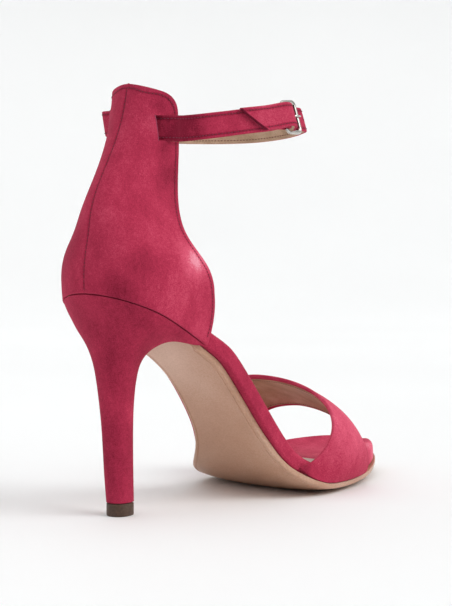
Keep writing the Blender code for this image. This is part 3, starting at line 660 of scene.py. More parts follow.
# %% [markdown]
# ## Heel and heel tip
# A stiletto heel is moulded plastic with a steel pin, covered in one piece of suede. Its wings run
# forward under the seat, its back is round, and its breast is hollow. A table of sections from
# seat to tip gives its shape, and a smooth curve through each column gives as many rings as the
# mesh needs.

# %% Heel
TIP_HEIGHT = 5.9
HEEL_SECTIONS = np.array([
    # back y, back z, front y, front z, half width, corner half width, breast y, breast power
    (1.6, 100.6, SEAT_LENGTH, 76.7, 29.6, 26.8, 30.0, 7.0),
    (3.4, 96.6, 45.6, 77.2, 28.0, 25.6, 29.6, 7.0),
    (5.2, 93.0, 40.2, 78.4, 26.0, 23.8, 29.4, 6.0),
    (7.0, 89.0, 35.0, 79.0, 23.6, 21.2, 29.2, 5.0),
    (8.3, 85.0, 31.6, 78.0, 20.8, 18.0, 29.0, 4.0),
    (9.3, 80.0, 29.8, 75.4, 16.6, 13.4, 28.7, 3.0),
    (10.0, 75.0, 28.9, 72.2, 13.2, 9.9, 28.3, 2.0),
    (10.7, 69.0, 28.0, 68.0, 10.4, 7.6, 27.6, 2.0),
    (11.5, 61.5, 27.2, 61.5, 8.5, 6.2, 26.9, 2.0),
    (12.4, 52.0, 26.6, 52.0, 7.1, 5.3, 26.3, 2.0),
    (13.9, 38.0, 26.4, 38.0, 6.35, 4.8, 26.2, 2.0),
    (15.1, 20.0, 26.8, 20.0, 6.0, 4.5, 26.6, 2.0),
    (16.3, TIP_HEIGHT + GAP, 27.4, TIP_HEIGHT + GAP, 5.6, 4.2, 27.2, 2.0),
])
HEEL_EQUATOR = 0.47  # share of a section's length at which it is widest
HEEL_RINGS = 130
# Painted shade on the heel, under the counter and down its stem, and a small lighter spot by the
# breast.
HEEL_PAINTED_SHADING = [  # x, y, z, radius, strength
    (10, 14, 88, 20, -0.12), (0, 20, 35, 50, -0.12), (6, 24, 46, 7, 0.14),
]


def heel_ring(section, arc=36, across=20):
    """One heel section: round at the back, narrower at the front corners, hollow at the breast."""
    back_y, back_z, front_y, front_z, half_width, corner, breast_y, power = section
    turn = np.linspace(0, math.pi / 2, arc + 1)
    ahead = np.linspace(HEEL_EQUATOR, 1, arc // 2 + 1)[1:]
    fall = (ahead - HEEL_EQUATOR) / (1 - HEEL_EQUATOR)
    share = np.concatenate([HEEL_EQUATOR * (1 - np.cos(turn)), ahead])
    narrowing = half_width + (corner - half_width) * fall**2
    width = np.concatenate([half_width * np.sin(turn), narrowing])
    y = back_y + (front_y - back_y) * share
    thick = min(WALL, 0.2 * corner)
    inner = np.sin(np.linspace(0, math.pi / 2, across + 1))[::-1] * (corner - thick)
    breast = breast_y + (front_y - breast_y) * (inner / (corner - thick)) ** power
    half = np.stack([np.concatenate([width, inner]), np.concatenate([y, breast])], 1)
    flat = np.concatenate([half, half[-2:0:-1] * (-1, 1)])
    z = back_z + (front_z - back_z) * (flat[:, 1] - back_y) / (front_y - back_y)
    return np.stack([tucked(*flat.T), flat[:, 1], z], 1)


def make_heel():
    rows = smooth_rows(HEEL_SECTIONS, np.linspace(0, len(HEEL_SECTIONS) - 1, HEEL_RINGS))
    points, faces = loft(np.array([heel_ring(row) for row in rows]))
    return piece("heel_covered", points, faces, SUEDE, nap=painted_marks(points, HEEL_PAINTED_SHADING))


fit(make_heel(), "suede", "heel")

# %% Heel tip
TIP_MIDDLE = np.array([0, 22.0])
TIP_RINGS = (  # height, inset
    (TIP_HEIGHT, 0.5), (TIP_HEIGHT - 0.15, 0.2), (TIP_HEIGHT - 0.5, 0.08),
    (0.8, 0.08), (0.4, 0.12), (0.12, 0.24), (0.0, 0.5),
)


def make_heel_tip():
    outward = heel_ring(HEEL_SECTIONS[-1])[:, :2] - TIP_MIDDLE
    length = np.linalg.norm(outward, axis=1, keepdims=True)
    rings = []
    for height, inset in TIP_RINGS:
        flat = TIP_MIDDLE + outward * (length - inset) / length
        rings.append(np.column_stack([flat, np.full(len(flat), height)]))
    points, faces = loft(np.array(rings))
    return piece("heel_tip_moulded", points, faces, TIP_PLASTIC)


fit(make_heel_tip(), "tip_plastic", "heel_tip")

# %% [markdown]
# ## Heel counter
# The counter is two suede halves, closed by a seam down the back and stiffened inside. Level
# sections give its shape: round at the heel, narrow at the neck, and a tongue at the top. The
# grid's wall is cut by a Boolean for the two slits that take the strap; the rear lip of each slit
# stands proud where the strap pushes out from under it. A lining sheet lies on the inside, and a
# strip shows the raw cut of each lip.

# %% Shape of the counter
COUNTER_SECTIONS = np.array([
    # height, back y, front y, back to widest place, half width, middle x
    (72, 0.0, 48.0, 26.0, 29.6, 0.0), (84, 0.6, 53.6, 26.0, 30.2, 0.0),
    (94, 0.9, 55.0, 26.0, 31.0, 0.0), (103, 0.6, 53.8, 26.0, 31.5, -0.2),
    (112, 0.7, 49.4, 25.5, 31.0, -0.3), (120, 2.0, 44.0, 25.0, 28.4, -0.5),
    (128, 3.9, 42.0, 24.5, 23.6, -0.8), (137, 6.0, 43.4, 24.0, 19.2, -1.4),
    (151, 12.3, 47.2, 22.5, 15.3, -2.1), (167, 22.1, 48.0, 19.5, 16.2, -3.1),
    (183, 29.6, 46.4, 17.0, 18.3, -4.3), (197, 34.0, 45.0, 16.0, 20.0, -5.8),
])
COUNTER_ROWS = np.array([  # height at the back, height at the front edge
    (101.6, 77.4), (107.0, 85.0), (113.5, 93.5), (120.0, 103.0), (127.0, 112.5), (134.5, 122.0),
    (142.5, 132.0), (151.0, 143.0), (160.0, 155.0), (170.0, 167.0), (178.5, 176.0), (185.5, 182.6),
])
COUNTER_LEVELS = 70
COUNTER_COLUMNS = 100  # on each half
COUNTER_TAPER = 0.06
TAPER_TOP = 120.0  # the height at which the taper starts
TAPER_FADE = 20.0  # how far below that it is full
COUNTER_TOP_RADIUS = 10.0
SLIT_START = 35.4
SLIT_LENGTH = 8.0
SLIT_CLEARANCE = 0.15
SLIT_CUT = 14.0  # depth of the cutter's blocks
INNER_SLIT_RISE = 3.4  # the inner slit lies higher than the outer one
STRAP_LEVEL = 175.0
STRAP_HEIGHT = 11.0


def counter_front(height):
    """Station of the counter's front edge, rounded off at its upper corner."""
    over = np.clip((height - COUNTER_ROWS[-1, 1]) / COUNTER_TOP_RADIUS, 0, 1)
    front = spline(COUNTER_SECTIONS[:, (0, 2)], height)
    return front - COUNTER_TOP_RADIUS * (1 - np.sqrt(1 - over**2))


def counter_point(height, share, side, front, inset=0.0):
    """A point of the counter, inset from its outside: share 0 is the back, 1 the front edge."""
    height = np.asarray(height, float)
    back, reach, widest, middle = (
        spline(COUNTER_SECTIONS[:, (0, column)], height) for column in (1, 3, 4, 5)
    )
    back, reach, widest = back + inset, reach - inset, widest - inset
    y = back + (front - back) * share
    part = (y - back) / reach
    rounded = np.sqrt(1 - (1 - np.clip(part, 0, 1)) ** 2)
    low = np.clip((TAPER_TOP - height) / TAPER_FADE, 0, 1)
    narrowed = 1 - COUNTER_TAPER * low * np.clip(part - 1, 0, None) ** 2
    x = middle + side * widest * rounded * narrowed
    return np.stack([x + low * (tucked(x, y) - x), y, height], axis=-1)


def counter_grid(inset, trim=0.0):
    """The surface from the outer front edge, round the back, to the inner; trim keeps off edges."""
    turn = np.linspace(-1, 1, 2 * COUNTER_COLUMNS + 1)
    share = np.abs(turn) ** 1.9  # close together at the back, where the heel is round
    turns = np.radians(np.linspace(3, 90, 22))[:, None]
    top = COUNTER_ROWS[-1] + (COUNTER_TOP_RADIUS - trim) * np.sin(turns)
    table = smooth_rows(COUNTER_ROWS, np.linspace(0, len(COUNTER_ROWS) - 1, COUNTER_LEVELS))
    table = np.concatenate([table + trim * np.linspace(1, 0, COUNTER_LEVELS)[:, None], top])
    rows = []
    for back_z, front_z in table:
        height = back_z + (front_z - back_z) * share
        front = counter_front(front_z) - trim
        rows.append(counter_point(height, share, -np.sign(turn), front, inset))
    return np.array(rows)


laid_flat = counter_grid(0.0)
across = [round(run_along(laid_flat[row])[-1]) for row in (0, 35, 60, -1)]
up = round(run_along(laid_flat[:, COUNTER_COLUMNS])[-1])
print(f"counter laid flat: {across} mm across from its foot to its top, {up} mm up the back seam")


# %% Slits
def settle(made):
    """Turns a piece and its modifier into a plain mesh."""
    shaped = made.evaluated_get(bpy.context.evaluated_depsgraph_get())
    made.data = bpy.data.meshes.new_from_object(shaped)
    made.data.name = made.name
    made.modifiers.clear()


def cutter(solids):
    """One mesh of solids for a Boolean to take away: each is made, turned or sized, and placed."""
    mesh = bpy.data.meshes.new("cutter")
    build = bmesh.new()
    for make, settings, matrix, middle in solids:
        for corner in make(build, **settings)["verts"]:
            corner.co = Vector((matrix @ np.array(corner.co) + middle) * MM + ORIGIN)
    bmesh.ops.recalc_face_normals(build, faces=build.faces)
    build.to_mesh(mesh)
    build.free()
    return shown("cutter", mesh)


def cut_out(made, blade):
    """Takes a cutter away from a piece for good, and removes the cutter."""
    cut = made.modifiers.new("cut", "BOOLEAN")
    cut.operation, cut.solver, cut.object = "DIFFERENCE", "EXACT", blade
    settle(made)
    made.data.set_sharp_from_angle(angle=SHARP_ANGLE)
    bpy.data.objects.remove(blade)


def slit_level(side):
    return STRAP_LEVEL + (INNER_SLIT_RISE if side < 0 else 0)


def slit_cutter():
    size = np.diag([SLIT_CUT, SLIT_LENGTH, STRAP_HEIGHT + 2 * SLIT_CLEARANCE])
    solids = []
    for side in (1, -1):
        x = counter_point(STRAP_LEVEL, 0.5, side, counter_front(STRAP_LEVEL))[0]
        middle = np.array([x, SLIT_START + SLIT_LENGTH / 2, slit_level(side)])
        solids.append((bmesh.ops.create_cube, {"size": 1}, size, middle))
    return cutter(solids)


# %% Rows of stitches on the counter
COUNTER_CENTRE = np.array([-2.0, 44.0, 0.0])
EDGE_ROW = 1.9  # from an edge to its row of stitches
ROW_STEP = 0.4
ROW_SOFTENING = 6  # steps to each side over which a row is evened out


def skin_tree(grid):
    """A search tree of a grid's faces, for laying things on it."""
    corners = (grid.reshape(-1, 3) * MM + ORIGIN).tolist()
    return BVHTree.FromPolygons(corners, quads(*grid.shape[:2]))


def on_tree(points, tree):
    """The nearest places on the counter, in millimetres, and its outward normals there."""
    found = [tree.find_nearest(Vector(point * MM + ORIGIN)) for point in points]
    places = np.array([(np.array(place) - ORIGIN) / MM for place, *_ in found])
    normals = np.array([tuple(normal) for _, normal, *_ in found])
    outward = np.sum(normals * (places - COUNTER_CENTRE) * (1, 1, 0), axis=1, keepdims=True)
    return places, normals * np.where(outward < 0, -1, 1)


def at_runs(at, run, line):
    """Points of a line at distances along it."""
    return np.stack([np.interp(at, run, column) for column in line.T], -1)


def evenly(line, step):
    """The line with its points a step apart."""
    run = run_along(line)
    return at_runs(np.arange(0, run[-1], step), run, line)


def counter_rows(grid):
    """Rows of stitches: one inside the whole edge, and one down the back seam."""
    tree = skin_tree(grid)
    border = np.concatenate([grid[2:-1, 0], grid[-1], grid[-2:2:-1, -1]])
    border = evenly(border, ROW_STEP)
    inside = unit(np.array([0, -1.0, -1.0]))
    _, normal = on_tree(border + inside, tree)
    from_edge = unit(np.cross(normal, np.gradient(border, axis=0)))
    from_edge *= np.where(from_edge @ inside < 0, -1, 1)[:, None]
    line = np.pad(border + from_edge * EDGE_ROW, ((ROW_SOFTENING,) * 2, (0, 0)), mode="edge")
    even = np.ones(2 * ROW_SOFTENING + 1) / (2 * ROW_SOFTENING + 1)
    soft = np.stack([np.convolve(column, even, mode="valid") for column in line.T], 1)
    back = grid[2:, grid.shape[1] // 2]
    back = back[back[:, 2] < back[-1, 2] - EDGE_ROW - 1]
    return [on_tree(row, tree) for row in (soft, evenly(back, ROW_STEP))]


# %% Counter
SEAM_DEPTH = 0.35
SEAM_HALF_WIDTH = 0.7
ROW_PAINTED_SHADE = -0.26  # painted shade along a row of stitches, as in the groove that the thread pulls in
ROW_PAINTED_SHADE_WIDTH = 0.55
LIP_RISE = 0.5
LIP_BACK = 0.8  # from the slit to the middle of its raised lip
LIP_HALF_WIDTH = 1.8
LIP_REACH = 1.5  # past the slit's ends
COUNTER_CREASES = [  # start, end, half width, depth
    ((15.0, 36.0, 169), (15.5, 45, 158), 2.2, 0.8),  # under the pull of the strap
    ((15.0, 36.0, 181.5), (9.5, 31, 187), 1.8, 0.7),
    ((13.0, 33.0, 166), (11.0, 26, 160), 2.6, 0.5),
    ((24.0, 20.0, 118), (29.0, 36, 108), 5.0, 0.5),
    ((-15.0, 34.0, 170), (-17.0, 42, 150), 3.5, 0.6),
]
# Painted highlight and shade on the counter: lighter where it faces the light, darker on its far
# side, at the neck, low at the back and round the slit.
COUNTER_PAINTED_SHADING = [  # x, y, z, radius, strength
    (29, 42, 116, 8, 0.5),  # painted highlight on the lobe, which faces the light
    (27, 26, 108, 16, 0.06), (23, 27, 128, 6, 0.03), (26, 12, 113, 8, -0.12),
    (13, 44, 153, 8, -0.26), (17, 42, 186, 9, -0.12),
    (14, 35, 186, 4, -0.2),  # painted shade and highlight round the slit, where the strap lifts the suede
    (12, 32, 178, 5, 0.14), (15, 38, 166, 4, -0.26),
    (-14, 10, 118, 14, -0.16), (16, 6, 102, 9, -0.2),
]


def creased(grid, outward, creases):
    """The grid with soft furrows pressed in along lines."""
    for start, end, width, depth in creases:
        start, line = np.array(start, float), np.subtract(end, start)
        share = np.clip((grid - start) @ line / (line @ line), 0, 1)
        away = np.linalg.norm(grid - start - share[..., None] * line, axis=-1) / width
        fade = np.sin(math.pi * np.clip(share, 0.08, 0.92))
        grid = grid - outward * (depth * fade * np.exp(-(away**2)))[..., None]
    return grid


def make_counter():
    outer, inner = counter_grid(0.0), counter_grid(WALL)
    middle = spline(COUNTER_SECTIONS[:, (0, 5)], outer[..., 2])
    off_seam = (outer[..., 0] - middle) / SEAM_HALF_WIDTH
    outer[..., 1] += SEAM_DEPTH * np.exp(-(off_seam**2))
    beside = (outer[..., 1] - SLIT_START + LIP_BACK) / LIP_HALF_WIDTH
    level = np.where(outer[..., 0] > middle, slit_level(1), slit_level(-1))
    level = np.abs(outer[..., 2] - level) / (STRAP_HEIGHT / 2 + LIP_REACH)
    lip = LIP_RISE * np.exp(-(beside**2)) * np.exp(-(level**6))
    outer[..., 0] += np.sign(outer[..., 0] - middle) * lip
    outer = creased(outer, unit((outer - COUNTER_CENTRE) * (1, 1, 0)), COUNTER_CREASES)
    rows = counter_rows(outer)
    sewn = np.concatenate([row for row, _ in rows])
    skin = outer.reshape(-1, 3)
    near = np.min([np.linalg.norm(skin - point, axis=1) for point in sewn[::2]], axis=0)
    # the counter's painted highlight and shade, with painted shade along its rows of stitches
    nap = painted_marks(skin, COUNTER_PAINTED_SHADING) + ROW_PAINTED_SHADE * np.exp(-((near / ROW_PAINTED_SHADE_WIDTH) ** 2))
    points, faces, source = wall(outer, inner)
    made = piece("counter_suede", points, faces, SUEDE, nap=nap[source])
    cut_out(made, slit_cutter())
    return made, rows


counter, COUNTER_SEWN = make_counter()
fit(counter, "suede", "counter")

# %% Counter lining and raw slit edges
LINING_TRIM = 1.6  # the lining stops short of the edge
LINING_SUNK = 0.1  # into the wall that it lies on
COUNTER_LINING = 0.3  # thickness
LIP_EDGE = 0.35  # half the thickness of the strip on a lip
LIP_EDGE_REACH, LIP_EDGE_PROUD = 0.2, 0.05  # how far it passes the slit's ends and the wall


def make_counter_lining():
    depths = (WALL - LINING_SUNK, WALL + COUNTER_LINING)
    outer, inner = (counter_grid(depth, trim=LINING_TRIM) for depth in depths)
    points, faces, _ = wall(outer, inner, bulge=0.2)
    made = piece("counter_lining", points, faces, LINING)
    cut_out(made, slit_cutter())
    return made


def make_slit_edges():
    """A thin strip on the cut of each slit's rear lip."""
    points, faces = [], []
    half = STRAP_HEIGHT / 2 + SLIT_CLEARANCE + LIP_EDGE_REACH
    thick = WALL / 2 + LIP_EDGE_PROUD
    turn = np.linspace(0, 2 * math.pi, 12, endpoint=False)[:, None]
    for side in (1, -1):
        strip = []
        for z in slit_level(side) + np.linspace(-half, half, 24):
            line = counter_point(np.full(400, z), np.linspace(0, 1, 400), side, counter_front(z))
            i = np.searchsorted(line[:, 1], SLIT_START)
            along = unit(line[i] - line[i - 1])
            out = np.array([along[1] * side, -along[0] * side, 0])
            here = line[i] + out * (LIP_RISE - WALL / 2)
            around = out * thick * np.cos(turn) + along * LIP_EDGE * np.sin(turn)
            strip.append(here + around)
        more, sides = loft(np.array(strip))
        faces += [[i + sum(map(len, points)) for i in face] for face in sides]
        points.append(more)
    points = np.concatenate(points)
    return piece("slit_raw_edges", points, faces, RAW_EDGE, nap=np.zeros(len(points)))


fit(make_counter_lining(), "sole_leather")
fit(make_slit_edges(), "suede")

# %% [markdown]
# ## Toe band
# A broad strap over the toes, cut so that its rear edge sweeps up and its front edge lies lower.
# Three arches give it: each leaves its foot at the edge of the sole, bulges, and passes over a
# crest. The lining is a second sheet that stops short of the turned edge, as it does on the real
# band.

# %% Toe band
BAND_ARCHES = np.array([
    # outer y, inner y, crest x, crest y, crest z, then bulge and waist, each outer and inner
    (110.5, 140.0, -17.0, 141.5, 55.0, 10.5, 12.5, 0.0, 3.0),
    (141.0, 167.0, -18.5, 160.0, 47.6, 9.4, 11.0, -2.6, 0.0),
    (167.0, 193.0, -20.0, 178.5, 37.6, 7.0, 9.0, -8.0, -4.0),
])
BAND_SWEEP = 0.42  # how soon the band leaves its feet for the crest
BAND_WIDTH = 42.0  # over the crest
BAND_INSIDE = (-10, 160, 5)  # a place under the band
TURNED_EDGE = 2.6  # how far the suede is turned in over the lining
BAND_LINING = 0.4  # thickness
BAND_CREASES = [  # start, end, half width, depth
    ((36.0, 113, 17), (42, 128, 30), 2.0, 0.55),  # the pleat at the rear corner
    ((44.0, 136, 12), (45, 156, 20), 2.6, 0.4),
    ((41.0, 168, 12), (40, 152, 30), 3.0, 0.35),
    ((-50.0, 150, 14), (-46, 160, 32), 2.6, 0.45),
]
# Painted highlight on the top of the band, which faces the light, and painted shade low at its
# outer foot and in the pleat.
BAND_PAINTED_SHADING = [  # x, y, z, radius, strength
    (36, 146, 32, 24, 0.3), (44, 150, 12, 12, -0.1),
    (36, 113, 15, 5, -0.3),  # painted shade in the pleat
]


def band_arch(row, turn):
    """Points of one arch, from its outer foot over the crest to its inner foot."""
    outer_y, inner_y, crest_x, crest_y, crest_z = row[:5]
    outer_bulge, inner_bulge, outer_waist, inner_waist = row[5:]
    out = turn < math.pi / 2
    foot_y = np.where(out, outer_y, inner_y)
    stand = WALL + 3 * GAP
    foot_x = np.where(out, outer_x(outer_y) + stand, inner_x(inner_y) - stand)
    foot_z = spline(PROFILE, foot_y) + CROWN + GAP
    rise, reach, swell = np.sin(turn), np.abs(np.cos(turn)), np.abs(np.sin(2 * turn))
    bulge = np.where(out, outer_bulge, -inner_bulge)
    waist = np.where(out, outer_waist, inner_waist)
    x = crest_x + (foot_x - crest_x) * reach + bulge * swell
    y = foot_y + (crest_y - foot_y) * rise**BAND_SWEEP + waist * swell
    z = foot_z + (crest_z - foot_z) * rise
    return np.stack([x, y, z], axis=-1)


def band_grid(off_edge=0.0, rows=64, columns=220):
    """The band's outside, or the part of it that keeps a distance off both its long edges."""
    turn = np.linspace(0, math.pi, columns + 1)
    turn = turn - 0.25 * np.sin(2 * turn)
    trim = off_edge / BAND_WIDTH
    at = np.linspace(0, 1, rows + 1) * (1 - 2 * trim) + trim
    sizes = smooth_rows(BAND_ARCHES, at * (len(BAND_ARCHES) - 1))
    return np.array([band_arch(row, turn) for row in sizes])


def outwards(grid):
    """The band's normals, away from the foot."""
    normal = unit(np.cross(np.gradient(grid, axis=0), np.gradient(grid, axis=1)))
    return normal * (1 if np.sum(normal * (grid - BAND_INSIDE), axis=-1).mean() > 0 else -1)


def inward(grid, depth):
    """The grid moved in towards the foot by a depth."""
    return grid - outwards(grid) * depth


def make_toe_band():
    outer = band_grid()
    inner = inward(outer, WALL)
    outer = creased(outer, outwards(outer), BAND_CREASES)
    points, faces, source = wall(outer, inner)
    nap = painted_marks(outer, BAND_PAINTED_SHADING).reshape(-1)[source]
    return piece("toe_band_suede", points, faces, SUEDE, nap=nap)


def make_band_lining():
    middle = band_grid(TURNED_EDGE)
    depths = (WALL - LINING_SUNK, WALL + BAND_LINING)
    outer, inner = (inward(middle, depth) for depth in depths)
    points, faces, _ = wall(outer, inner, bulge=0.3)
    return piece("toe_band_lining", points, faces, LINING)


fit(make_toe_band(), "suede", "toe_band")
fit(make_band_lining(), "sole_leather")
laid_flat = band_grid()
edges = [round(run_along(laid_flat[row])[-1]) for row in (0, -1)]
wide = [round(run_along(laid_flat[:, at])[-1]) for at in (0, laid_flat.shape[1] // 2, -1)]
print(f"band laid flat: rear and front edges {edges} mm")
print(f"band's width at its outer foot, crest and inner foot: {wide} mm")

# %% [markdown]
# ## Ankle strap
# One long strap: folded round the buckle's rear bar, back along the outer side of the ankle, in
# through the outer slit, round inside the counter, out through the inner slit, round the front of
# the ankle and through the buckle, with a tail cut on a slant. Two edge curves carry it, so it can
# lean in at the front.

# %% Way of the ankle strap
STRAP_THICKNESS = 1.8
STRAP_FOLD_THICKNESS = 1.0
STRAP_LEAN = 0.28
STRAP_LEAN_STATIONS = (55.0, 100.0)
ANKLE_STATION = 82.0
TAIL_SLANT = 13.0
TAIL_LENGTH = 30.0
FOLD_LENGTH = 20.0
BUCKLE_MIDDLE = np.array([30.0, 106.4, 182.2])
BUCKLE_TURN = math.radians(14)
BUCKLE_TILT = 0.16  # how far the front bar stands out, as a share of the length
BUCKLE_LENGTH = 10.0
BUCKLE_HEIGHT = 15.0
BUCKLE_WIRE = 0.85
STRAP_OUTER_RUN = np.array([  # x, y, z of the middle line from the buckle's fold to the outer slit
    (31.5, 91.5, 181.2), (28.6, 81.5, 179.8), (24.6, 71.0, 178.2), (19.6, 60.0, 176.6),
])
STRAP_INNER_RUN = np.array([  # from the inner slit, which it leaves steeply, round to the buckle
    (-30.4, 46.8, 178.6), (-34.0, 56.0, 178.4), (-35.2, 69.0, 178.0), (-34.4, 84.0, 177.6),
    (-31.8, 100.0, 177.4), (-26.2, 114.4, 177.6), (-15.0, 124.4, 177.9), (0.0, 128.6, 178.8),
    (12.5, 128.4, 180.2), (20.5, 125.2, 181.2), (27.3, 119.4, 182.0),
])
STRAP_TAIL = np.array([  # from the buckle to the tail's end
    (33.9, 91.0, 181.8), (31.2, 81.6, 180.4), (28.4, 74.0, 179.5),
])


def beside_counter(station, side, offset, height):
    """A point of the strap's middle surface at an offset from the counter's outer surface."""
    line = counter_point(np.full(200, height), np.linspace(0, 1, 200), side, counter_front(height))
    i = np.clip(np.searchsorted(line[:, 1], station), 1, 198)
    along = line[i + 1] - line[i - 1]
    return line[i] + side * np.array([along[1], -along[0], 0]) / np.linalg.norm(along) * offset


def through_slit(side, height):
    """The strap's way from outside the counter, through its slit, to the inside of its back."""
    outside = 2 * GAP + STRAP_THICKNESS / 2
    inside = -(WALL + 2 * GAP + STRAP_THICKNESS / 2)
    end = SLIT_START + SLIT_LENGTH
    close = [(end + 3.0, outside), (end - 0.2, outside)]
    way = close if side > 0 else [(end - 1.6, outside + 4.0)]
    way += [
        (SLIT_START + (0.5 if side > 0 else 0.42) * SLIT_LENGTH, (outside + inside) / 2),
        (SLIT_START + 0.2, inside),
        (SLIT_START - 2.4, inside),
    ]
    return np.array([beside_counter(station, side, offset, height) for station, offset in way])


def strap_rise(points):
    """From the strap's middle line to its upper edge, leaning in towards the ankle."""
    start, end = STRAP_LEAN_STATIONS
    lean = STRAP_LEAN * np.clip((points[:, 1] - start) / (end - start), 0, 1)
    out = unit(points[:, :2] - (0, ANKLE_STATION))
    return unit(np.column_stack([-out * lean[:, None], np.ones(len(points))])) * STRAP_HEIGHT / 2


def buckle_axes():
    """Directions of the buckle: along the strap to the front, out from the ankle, and up."""
    sine, cosine = math.sin(BUCKLE_TURN), math.cos(BUCKLE_TURN)
    forward = np.array([-sine, cosine, 0])
    up = unit(np.array([-STRAP_LEAN * cosine, -STRAP_LEAN * sine, 1]))
    return forward, np.cross(forward, up), up


def buckle_point(along, outward, rise=0.0):
    outward = outward + BUCKLE_TILT * max(0, along + BUCKLE_LENGTH / 2)
    return BUCKLE_MIDDLE + np.array([along, outward, rise]) @ np.array(buckle_axes())


def strap_edge(up):
    """Points of the strap's middle surface along its upper (1) or lower (-1) edge."""
    rear = -BUCKLE_LENGTH / 2
    radius = BUCKLE_WIRE + GAP + STRAP_FOLD_THICKNESS / 2
    fold = [(rear - 5.5, -radius - 0.8), (rear - 3, -radius - 0.2)]
    for angle in np.radians([-90, -45, 0, 45, 90]):
        fold.append((rear + radius * math.cos(angle), radius * math.sin(angle)))
    fold.append((rear - 4, radius - 0.5))
    over = radius + (STRAP_FOLD_THICKNESS + STRAP_THICKNESS) / 2 + 4 * GAP
    under = BUCKLE_WIRE + GAP + STRAP_THICKNESS / 2
    through = [(-rear, -under), (0, (over - under) / 2), (rear, over), (rear - 4.5, over - 0.4)]
    height = STRAP_LEVEL + up * STRAP_HEIGHT / 2
    middle = height + INNER_SLIT_RISE / 2
    back = counter_point(middle, 0.0, 1, counter_front(middle))
    return np.concatenate([
        [buckle_point(*place, up * STRAP_HEIGHT / 2) for place in fold],
        STRAP_OUTER_RUN + up * strap_rise(STRAP_OUTER_RUN),
        through_slit(1, height),
        [back + (0, WALL + 3 * GAP + STRAP_THICKNESS / 2, 0)],
        through_slit(-1, height + INNER_SLIT_RISE)[::-1],
        STRAP_INNER_RUN + up * strap_rise(STRAP_INNER_RUN),
        [buckle_point(*place, up * STRAP_HEIGHT / 2) for place in through],
        STRAP_TAIL + up * strap_rise(STRAP_TAIL),
    ])


def strap_paths():
    """Fine paths of the lower and upper edges, and the run of the strap's middle line."""
    edges = [strap_edge(-1), strap_edge(1)]
    middle = (edges[0] + edges[1]) / 2
    step = np.linalg.norm(np.diff(middle, axis=0), axis=1) ** 0.7
    run = np.concatenate([[0], np.cumsum(step)])
    fine = np.linspace(0, run[-1], 6000)
    lower, upper, line = (smooth_rows(path, fine, run) for path in (*edges, middle))
    return lower, upper, run_along(line)


STRAP_LOWER, STRAP_UPPER, STRAP_RUN = strap_paths()
STRAP_END = STRAP_RUN[-1] - TAIL_SLANT / 2
print(f"strap laid flat: {STRAP_END:.0f} x {STRAP_HEIGHT:.0f} mm")

# %% Ankle strap
STRAP_DOME = 0.12  # its outside is a little round
STRAP_LINING_SUNK, STRAP_LINING_PROUD = 0.4, 0.22  # into the strap, and out of it
TAIL_EDGE_PROUD = 0.18
STRAP_ROW = 0.78  # place of a row of stitches across the strap: 0 is its middle, 1 its edge
# Painted shade on the strap, darkest by the outer slit, giving way to a little painted light
# towards the buckle.
STRAP_PAINTED_SHADING = [  # x, y, z, radius, strength
    (16, 46, 175, 12, -0.46), (24, 68, 178, 12, -0.04), (32, 88, 181, 14, 0.12),
]


def strap_surface(at, across, lift):
    """Strap points at runs and places across (-1 low to 1 high), lifted off its middle surface."""
    at, across = np.broadcast_arrays(np.asarray(at, float), np.asarray(across, float))
    in_tail = np.clip((at - STRAP_END + TAIL_LENGTH) / TAIL_LENGTH, 0, 1)
    at = at + across * TAIL_SLANT / 2 * in_tail

    def here(run):
        low, high = (at_runs(run, STRAP_RUN, edge) for edge in (STRAP_LOWER, STRAP_UPPER))
        return low + (high - low) * (across[..., None] + 1) / 2

    along = here(at + 0.25) - here(at - 0.25)
    out = unit(np.stack([-along[..., 1], along[..., 0], np.zeros(at.shape)], -1))
    return here(at) + out * np.broadcast_to(lift, at.shape)[..., None], out


def strap_half(at):
    """Half the strap's thickness, which is skived thin for the fold."""
    thick = [STRAP_FOLD_THICKNESS / 2, STRAP_THICKNESS / 2]
    return np.interp(at, [FOLD_LENGTH - 6, FOLD_LENGTH], thick)


def make_strap():
    fold, rest = np.arange(0, FOLD_LENGTH, 0.3), np.linspace(FOLD_LENGTH, STRAP_END, 720)
    at = np.concatenate([fold, rest])[:, None]
    across = np.linspace(-1, 1, 41)
    outer, _ = strap_surface(at, across, strap_half(at) + STRAP_DOME * (1 - across**4))
    inner, _ = strap_surface(at, across, -strap_half(at))
    points, faces, source = wall(outer, inner, bulge=0.5)
    # painted shade along both rows of stitches on the strap
    off_row = (np.abs(across) - STRAP_ROW) * STRAP_HEIGHT / 2 / ROW_PAINTED_SHADE_WIDTH
    shaded = np.tile(ROW_PAINTED_SHADE * np.exp(-(off_row**2)), len(at))
    nap = painted_marks(points, STRAP_PAINTED_SHADING) + shaded[source]
    return piece("ankle_strap_suede", points, faces, SUEDE, nap=nap)


def make_strap_lining():
    at = np.linspace(FOLD_LENGTH + 6, STRAP_END - 4, 700)[:, None]
    across = np.linspace(-1.06, 1.06, 13)  # out to the edges, where its cut shows
    lifts = (STRAP_LINING_SUNK, -STRAP_LINING_PROUD)
    outer, inner = (strap_surface(at, across, lift - strap_half(at))[0] for lift in lifts)
    points, faces, _ = wall(outer, inner, bulge=0.3)
    return piece("ankle_strap_lining", points, faces, STRAP_LINING)


def make_tail_edge():
    """Dark edge paint on the tail's slanted cut, in a strip that reaches past the cut, so that it
    also paints the shadow beside it.
    """
    across = np.linspace(-1.02, 1.02, 40)[:, None]
    turn = np.linspace(0, 2 * math.pi, 14, endpoint=False)
    thick = (STRAP_THICKNESS / 2 + TAIL_EDGE_PROUD) * np.cos(turn)
    strip, _ = strap_surface(STRAP_END + 0.1 + 0.8 * np.sin(turn), across, thick)
    points, faces = loft(strip)
    return piece("strap_tail_edge", points, faces, EDGE_PAINT, nap=np.zeros(len(points)))


strap = make_strap()

